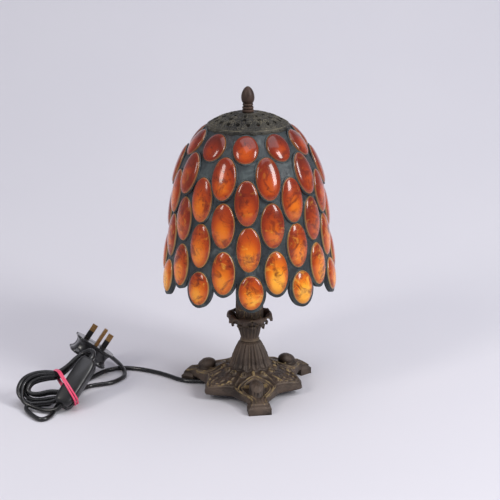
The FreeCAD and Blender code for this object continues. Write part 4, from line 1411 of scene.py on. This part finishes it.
    def skin(self) -> bpy.types.Object:
        """Skin over the whole casting, from its neck to its edge and down to the rim."""
        columns = 540
        theta = np.linspace(0, TAU, columns, endpoint=False)
        first = math.radians(self.turn - 90)
        local = (theta - first + TAU / 6) % (TAU / 3) - TAU / 6
        limit = self.reach(local)
        knots = np.array(self.slope)
        climb = np.concatenate([[0], np.cumsum(np.hypot(*np.diff(knots, axis=0).T))])
        start, stop = (float(np.interp(edge_r, knots[:, 0], climb)) for edge_r in (9.15, self.skirt_reach))
        inner = np.interp(np.linspace(start, stop, 62), climb, knots[:, 0])
        outward = np.linspace(0, 1, 74)[1:] ** 0.92
        r = np.concatenate([np.repeat(inner[:, None], columns, 1),
                            self.skirt_reach + outward[:, None] * (limit[None, :] - self.skirt_reach)])
        x, y = r * np.cos(local)[None, :], r * np.sin(local)[None, :]
        ground = np.interp(r, knots[:, 0], knots[:, 1])
        grade = (np.interp(r + 0.6, knots[:, 0], knots[:, 1]) - np.interp(r - 0.6, knots[:, 0],
                                                                          knots[:, 1])) / 1.2
        grade = np.where(r < 9.8, -2.2, grade)
        size = np.sqrt(1 + grade ** 2)
        # folds of the skirt: uneven gathers that deepen towards the hem
        lean = 0.35 * np.sin(theta * 3 + 0.6)[None, :] * (r - 9) / 20
        phase = 25 * (theta[None, :] + 0.05 * lean) + 1.1 * np.sin(5 * theta + 1.0)[None, :]
        fold = (np.abs(np.sin(phase / 2)) ** 0.8 - 0.62) + 0.35 * (np.abs(np.sin(phase * 0.81 + 1.3)) - 0.6)
        hem = 24.2 + 1.1 * np.cos(phase / 2 + 0.4) + 0.6 * np.sin(3 * theta + 2.0)[None, :]
        on_skirt = np.clip((hem - r) / 1.4, 0, 1)
        depth = 0.35 + 1.35 * np.clip((r - 10) / 9, 0, 1)
        skirt = on_skirt * (fold * depth + 0.55 + 0.9 * np.clip((r - 19) / 4, 0, 1))
        pattern = self.relief(x, y, r)
        inside = 1 - np.clip((hem + 1.0 - r) / 2.5, 0, 1)
        pod, pod_in = self.pod(x, y, ground)
        tall = skirt + np.where(pod > 0.3, 0, pattern) * np.maximum(inside, (pattern > 2.4) * 1.0) + 0.22
        edge = self.edge_distance(x, y)
        tall = tall - 2.4 * np.clip(1 - edge / 2.0, 0, 1) ** 2 * (r > 33)
        rr = r - grade / size * tall * (r < 31) * 1.0
        z = ground + np.where(r < 31, tall / size, tall) + pod
        rr = np.where(r < 31, rr, r)
        neck = np.clip((12.5 - r) / 3.0, 0, 1)
        rr = rr * (1 - neck) + r * neck
        z = z * (1 - neck) + (ground + 0.35) * neck
        top = np.stack([rr * np.cos(theta)[None, :], rr * np.sin(theta)[None, :], z], axis=2)
        # the edge rolls over and runs down to the rim, then back under it
        last = top[-1]
        skirtings = []
        for out, level in ((0.5, 0.72), (0.8, 0.4), (0.7, 0.12), (0.25, 0.0), (-0.9, 0.0)):
            ring = last.copy()
            scale = (np.hypot(last[:, 0], last[:, 1]) + out) / np.hypot(last[:, 0], last[:, 1])
            ring[:, 0] *= scale
            ring[:, 1] *= scale
            ring[:, 2] = self.rim_z - 0.15 + (last[:, 2] - self.rim_z) * level
            skirtings.append(ring)
        grid = np.concatenate([top, np.array(skirtings)])
        made = new_mesh("base_skin", grid.reshape(-1, 3), grid_faces(grid.shape[0], columns, True))
        worn = np.concatenate([(pattern - 0.45) * inside + on_skirt * fold * 0.9 + 0.35 * (pod_in > 0.02)
                               - 0.8 * (pod_in > 0) * (pod_in < 0.06), np.full((5, columns), -0.2)])
        gold = (np.abs(np.abs(y) - 9.0) < 4.5) & (x > 42) & (x < 48) & (np.abs(pattern) < 0.5)
        worn[:top.shape[0]] += gold * 1.4
        set_relief(made, worn.reshape(-1))
        return made

    def foot(self) -> bpy.types.Object:
        """Flared block at the end of the lobe that faces +X, before it is turned into place."""
        sections = [(66.0, 9.2, 12.6, 5.0), (69.5, 8.9, 13.3, 2.5), (73.0, 9.3, 13.1, 0.7),
                    (76.0, 10.8, 12.2, 0.0),
                    (78.8, 12.3, 11.0, 0.0), (80.8, 12.9, 9.0, 0.0), (81.9, 12.7, 6.0, 0.0),
                    (82.1, 12.3, 3.0, 0.0)]
        points, side = [], 18
        for x, w, top, low in sections:
            for j in range(side + 1):
                b = -w + 2 * w * j / side
                crown = 1 - abs(b / w) ** 3
                z = low + (top - low) * (0.35 + 0.65 * crown) if abs(b / w) < 0.999 else low
                points.append((x, b, max(z, low)))
            points += [(x, w, low), (x, -w, low)]
        width = side + 3
        faces: list[Sequence[int]] = list(grid_faces(len(sections), width, True, True))
        faces += [tuple(range(width)), tuple(range((len(sections) - 1) * width, len(sections) * width))[::-1]]
        made = recalc(new_mesh("foot", points, faces))
        set_relief(made, np.full(len(made.data.vertices), 0.1))
        return made

    def build(self, rings: RingCopies) -> list[bpy.types.Object]:
        """Make the skin and the feet.

        Args:
            rings: The tree that repeats a template.

        Returns:
            The two pieces.
        """
        skin = self.skin()
        Paint.on(skin, Finish.CASTING)
        feet = rings.ring("foot_blocks", self.foot(), 3, self.turn - 90, Finish.CASTING)
        return [skin, feet]


@dataclass
class Stem:
    """Fluted cup, collar of curling leaves and the column with its raised ornament."""

    cup: list[Flat] = field(default_factory=lambda: [
        (9.3, 58.2), (10.4, 58.7), (10.9, 59.7), (10.3, 60.8), (9.7, 61.3), (10.1, 62.6), (11.2, 66.5),
        (12.2, 71.0),
        (13.1, 75.0), (13.9, 77.4), (15.6, 78.9), (17.0, 80.3), (16.8, 81.6), (15.3, 82.2)])
    leaf_path: list[Flat] = field(default_factory=lambda: [
        (14.8, 79.5), (16.6, 83.2), (18.4, 87.3), (20.7, 90.4), (23.3, 91.2), (25.4, 89.3), (26.3, 86.2),
        (26.2, 83.0)])
    leaf_width: list[float] = field(default_factory=lambda: [6.0, 7.2, 8.2, 9.2, 9.2, 7.4, 4.6, 1.2])
    column_radius: float = 14.9
    column_z: Flat = (80.2, 150.0)

    def fluted_cup(self) -> bpy.types.Object:
        """Cup with rounded flutes below the leaves."""
        line, columns = smooth_line(self.cup, 4), 216
        points, worn = [], []
        for r, z in line:
            fade = max(0.0, min((z - 61.5) / 2.0, (78.0 - z) / 2.0, 1.0))
            for j in range(columns):
                angle = TAU * j / columns
                groove = 1 - abs(math.cos(angle * 9)) ** 0.7
                points.append(((r + 0.25 - 1.0 * fade * groove) * math.cos(angle),
                               (r + 0.25 - 1.0 * fade * groove) * math.sin(angle), z))
                worn.append(0.45 - 1.2 * groove * fade)
        made = new_mesh("fluted_cup", points, grid_faces(len(line), columns, True))
        set_relief(made, np.array(worn))
        Paint.on(made, Finish.CASTING)
        return made

    def leaf(self, path: Sequence[Flat], widths: Sequence[float], thick: float,
             lobes: float) -> bpy.types.Object:
        """Curled leaf that points towards +X, with a vein, lobed edges and an even thickness.

        Args:
            path: Middle line of the leaf as (radius, height).
            widths: Half width at each point.
            thick: Thickness.
            lobes: Depth of the lobes as a share of the width.

        Returns:
            The closed leaf.
        """
        line = smooth_line([(r, z, w) for (r, z), w in zip(path, widths)], 6)
        across, points, worn = 15, [], []
        for i, (r, z, w) in enumerate(line):
            t = i / (len(line) - 1)
            ahead = line[min(i + 1, len(line) - 1)] - line[max(i - 1, 0)]
            size = math.hypot(ahead[0], ahead[1])
            nr, nz = -ahead[1] / size, ahead[0] / size
            edge = w * (1 + lobes * abs(math.sin(t * math.pi * 3.5)) - lobes / 2)
            for j in range(across):
                s = 2 * j / (across - 1) - 1
                cup = (-1.5 * s * s * (0.3 + t) + 0.75 * math.exp(-(s / 0.13) ** 2)
                       + 0.3 * math.cos(s * 15) * (1 - t))
                points.append((r + nr * cup, s * edge, z + nz * cup))
                worn.append(0.9 * math.exp(-(s / 0.15) ** 2) + 0.8 * (abs(s) > 0.85) - 0.3)
        made = new_mesh("leaf", points, grid_faces(len(line), across, False, True))
        set_relief(made, np.array(worn))
        shell = made.modifiers.new("body", "SOLIDIFY")
        shell.thickness = thick * MM
        shell.offset = -1
        return baked(made)

    def ornament(self) -> bpy.types.Object:
        """Column with raised teardrops and scrolls."""
        low, high = self.column_z
        rows, columns = 150, 320
        z = np.linspace(low + 0.1, high, rows)[:, None] * np.ones((1, columns))
        theta = np.linspace(0, TAU, columns, endpoint=False)[None, :] * np.ones((rows, 1))
        step = TAU / 5
        across = np.abs((theta + 0.45 + step / 2) % step - step / 2) * self.column_radius
        lift = (z - 82.0) % 34.0
        tall = np.zeros(z.shape)
        for line, width, high_mm in (
                ([(0, 24), (1.4, 19), (3.6, 14), (4.4, 10), (3.2, 6.4), (0, 5.4)], 0.7, 1.0),
                ([(0, 19), (1.2, 15), (1.9, 11.5), (1.2, 9), (0, 8.4)], 0.6, 0.8),
                (spiral((7.0, 24.0), 2.6, 1.2, 200, -1), 0.65, 0.95),
                (spiral((7.2, 6.0), 2.2, 1.1, 120, 1), 0.65, 0.9),
                ([(9.3, 0), (8.6, 8), (9.0, 16), (6.5, 21)], 0.6, 0.8),
                ([(0, 34), (1.6, 29), (0, 26)], 0.6, 0.8)):
            tall = np.maximum(tall, high_mm * np.exp(-(line_distance(across, lift, line) / width) ** 2))
        tall = tall + 0.12 * lumps(theta * 14.9, z, 3.0, 9)
        for band in (98.0, 147.0):
            tall = np.maximum(tall, 0.75 * np.exp(-((z - band) / 0.9) ** 4))
        r = self.column_radius + 0.12 + 0.75 * tall
        points = np.stack([r * np.cos(theta), r * np.sin(theta), z], axis=2).reshape(-1, 3)
        made = new_mesh("column_ornament", points, grid_faces(rows, columns, True))
        set_relief(made, (tall * 1.2 - 0.3).reshape(-1))
        Paint.on(made, Finish.CASTING)
        return made

    def build(self, rings: RingCopies, first: float) -> list[bpy.types.Object]:
        """Make the cup, the leaves and the column.

        Args:
            rings: The tree that repeats a template.
            first: Angle of the front lobe in degrees.

        Returns:
            The four pieces.
        """
        leaves = rings.ring("curled_leaves", self.leaf(self.leaf_path, self.leaf_width, 1.2, 0.22), 8,
                            first + 22.5,
                            Finish.CASTING)
        tips = rings.ring("small_leaves", self.leaf([(15.2, 80.6), (18.4, 81.2), (20.4, 78.9), (19.6, 75.4)],
                                                    [3.0, 4.2, 3.6, 0.8], 1.0, 0.15), 8, first,
                                                    Finish.CASTING)
        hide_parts("leaf_cup")
        return [self.fluted_cup(), leaves, tips, self.ornament()]


# ---- studio --------------------------------------------------------------------------------------
@dataclass
class StudioSet:
    """Camera, sweep and lights."""

    lens: float = 94.23
    eye: Point = (1.02, -1400.0, 596.3)
    pitch: float = 0.2987
    roll: float = -0.008

    def camera(self) -> None:
        """Set the camera that looks at the lamp from a little above."""
        data = bpy.data.cameras.new("camera")
        data.lens, data.sensor_width, data.clip_start = self.lens, 36.0, 0.05
        made = bpy.data.objects.new("camera", data)
        bpy.context.scene.collection.objects.link(made)
        ahead = Vector((0, math.cos(self.pitch), -math.sin(self.pitch)))
        right, up = Vector((1, 0, 0)), Vector((0, math.sin(self.pitch), math.cos(self.pitch)))
        c, s = math.cos(self.roll), math.sin(self.roll)
        cam_right, cam_up = right * c + up * s, up * c - right * s
        turn = Matrix((cam_right, cam_up, -ahead)).transposed()
        made.matrix_world = Matrix.Translation(Vector(self.eye) * MM) @ turn.to_4x4()
        bpy.context.scene.camera = made

    def sweep(self) -> bpy.types.Object:
        """Paper that lies on the table and curves up behind."""
        start, bend = 0.2, 1.75
        line = [(y, 0.0) for y in (-2.6, -1.0, 0.0, start - 0.04, start - 0.01)]
        line += [(start + bend * math.sin(a), bend * (1 - math.cos(a))) for a in np.linspace(0, math.pi / 2,
                                                                                             64)]
        line += [(start + bend, z) for z in (bend + 0.02, bend + 0.1, 1.2, 3.2)]
        points = [(x * 1000, y * 1000, z * 1000) for y, z in line for x in (-3.5, 3.5)]
        made = new_mesh("paper", points, grid_faces(len(line), 2, False))
        Paint.on(made, Finish.PAPER)
        return made

    def lamp(self, name: str, at: Point, aim: Point, size: Flat, watts: float, tone: str) -> None:
        """Add one soft box.

        Args:
            name: Name of the light.
            at: Its place in metres.
            aim: The point it faces.
            size: Its two sides in metres.
            watts: Its power.
            tone: Its colour.
        """
        data = bpy.data.lights.new(name, "AREA")
        data.shape, data.size, data.size_y, data.energy = "RECTANGLE", size[0], size[1], watts
        data.color = linear(tone)[:3]
        made = bpy.data.objects.new(name, data)
        bpy.context.scene.collection.objects.link(made)
        made.location = at
        made.rotation_euler = (Vector(aim) - Vector(at)).to_track_quat("-Z", "Y").to_euler()

    def build(self) -> None:
        """Make the set."""
        self.sweep()
        self.lamp("soft_box_left", (-1.25, -1.15, 1.35), (0, 0, 0.2), (0.4, 0.8), 11.0, "#fffaf5")
        self.lamp("soft_box_right", (1.35, -0.95, 1.2), (0, 0, 0.2), (0.5, 0.9), 22.0, "#ffffff")
        self.lamp("top_light", (0.35, -0.15, 2.3), (0, 0.45, 0), (2.0, 1.8), 20.0, "#f6f6ff")
        world = bpy.data.worlds.new("room")
        world.use_nodes = True
        world.node_tree.nodes["Background"].inputs["Color"].default_value = linear("#e6e6f0")
        world.node_tree.nodes["Background"].inputs["Strength"].default_value = 0.46
        bpy.context.scene.world = world
        bpy.context.scene.view_settings.view_transform = "Standard"


# ---- CAD nodes that stay -------------------------------------------------------------------------
KEPT: dict[Finish, tuple[str, ...]] = {
    Finish.CASTING: ("base_casting", "column", "column_cap"),
    Finish.MATRIX: ("shade_matrix",),
    Finish.CAP: ("shade_cap",),
    Finish.ZINC: ("threaded_pipe", "base_washer", "base_nut", "holder_nut", "clamp_screws", "cord_clamp",
                  "switch_screws"),
    Finish.HARP: ("harp_saddle", "harp_wires", "harp_ferrules", "harp_stud"),
    Finish.HOLDER: ("lampholder_base", "lampholder_body"),
    Finish.CERAMIC: ("lampholder_insert",),
    Finish.CONTACT: ("contact_shell", "contact_tongue", "bulb_cap", "switch_terminals"),
    Finish.GLASS: ("bulb_glass",),
    Finish.FILAMENT: ("bulb_filament",),
    Finish.SHEATH: ("inner_flex",),
    Finish.SWITCH: ("switch_back_half", "switch_rocker", "fuse_carrier"),
    Finish.PIN: ("live_pin", "neutral_pin", "earth_pin"),
    Finish.SLEEVE: ("live_sleeve", "neutral_sleeve"),
    Finish.FUSE: ("fuse",),
}


def main() -> None:
    """Build every piece, set what it rides on and report it."""
    logging.basicConfig(level=logging.INFO, format="%(name)s %(message)s")
    studio = StudioSet()
    studio.camera()
    hank = HankFrame()
    flex_maker = Flex(hank)
    flex, centre = flex_maker.build()
    band, cover = RubberBand(hank).build(), SwitchCase(hank).build()
    plug_body, sleeve = Plug().build(centre)
    for piece, nodes, slot in ((flex, ("cord_lead", "cord_hank", "cord_tail"), "cord_black"),
                               (band, ("rubber_band",), "band_pink"),
                               (cover, ("switch_front_half",), "switch_black"),
                               (plug_body, ("plug_body",), "plug_black"),
                               (sleeve, ("plug_relief",), "plug_black")):
        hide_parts(*nodes)
        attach(piece, "lamp")
        LOG.info("%s stands for %s", piece.name, ", ".join(nodes))
    nodes = frame["nodes"]
    for finish, names in KEPT.items():
        for name in names:
            Paint.on(nodes[name], finish)
        LOG.info("%s on %s", finish.name, ", ".join(names))
    rings = RingCopies()
    for piece in Shade().build(rings):
        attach(piece, "shade")
        LOG.info("%s: %d faces", piece.name, len(piece.data.polygons))
    finial = Finial().build()
    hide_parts("finial")
    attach(finial, "finial")
    LOG.info("finial made")
    base = CastBase()
    for piece in base.build(rings) + Stem().build(rings, base.turn - 90):
        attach(piece, "lamp")
        LOG.info("%s: %d faces", piece.name, len(piece.data.polygons))
    studio.build()


if __name__ == "__main__":
    main()
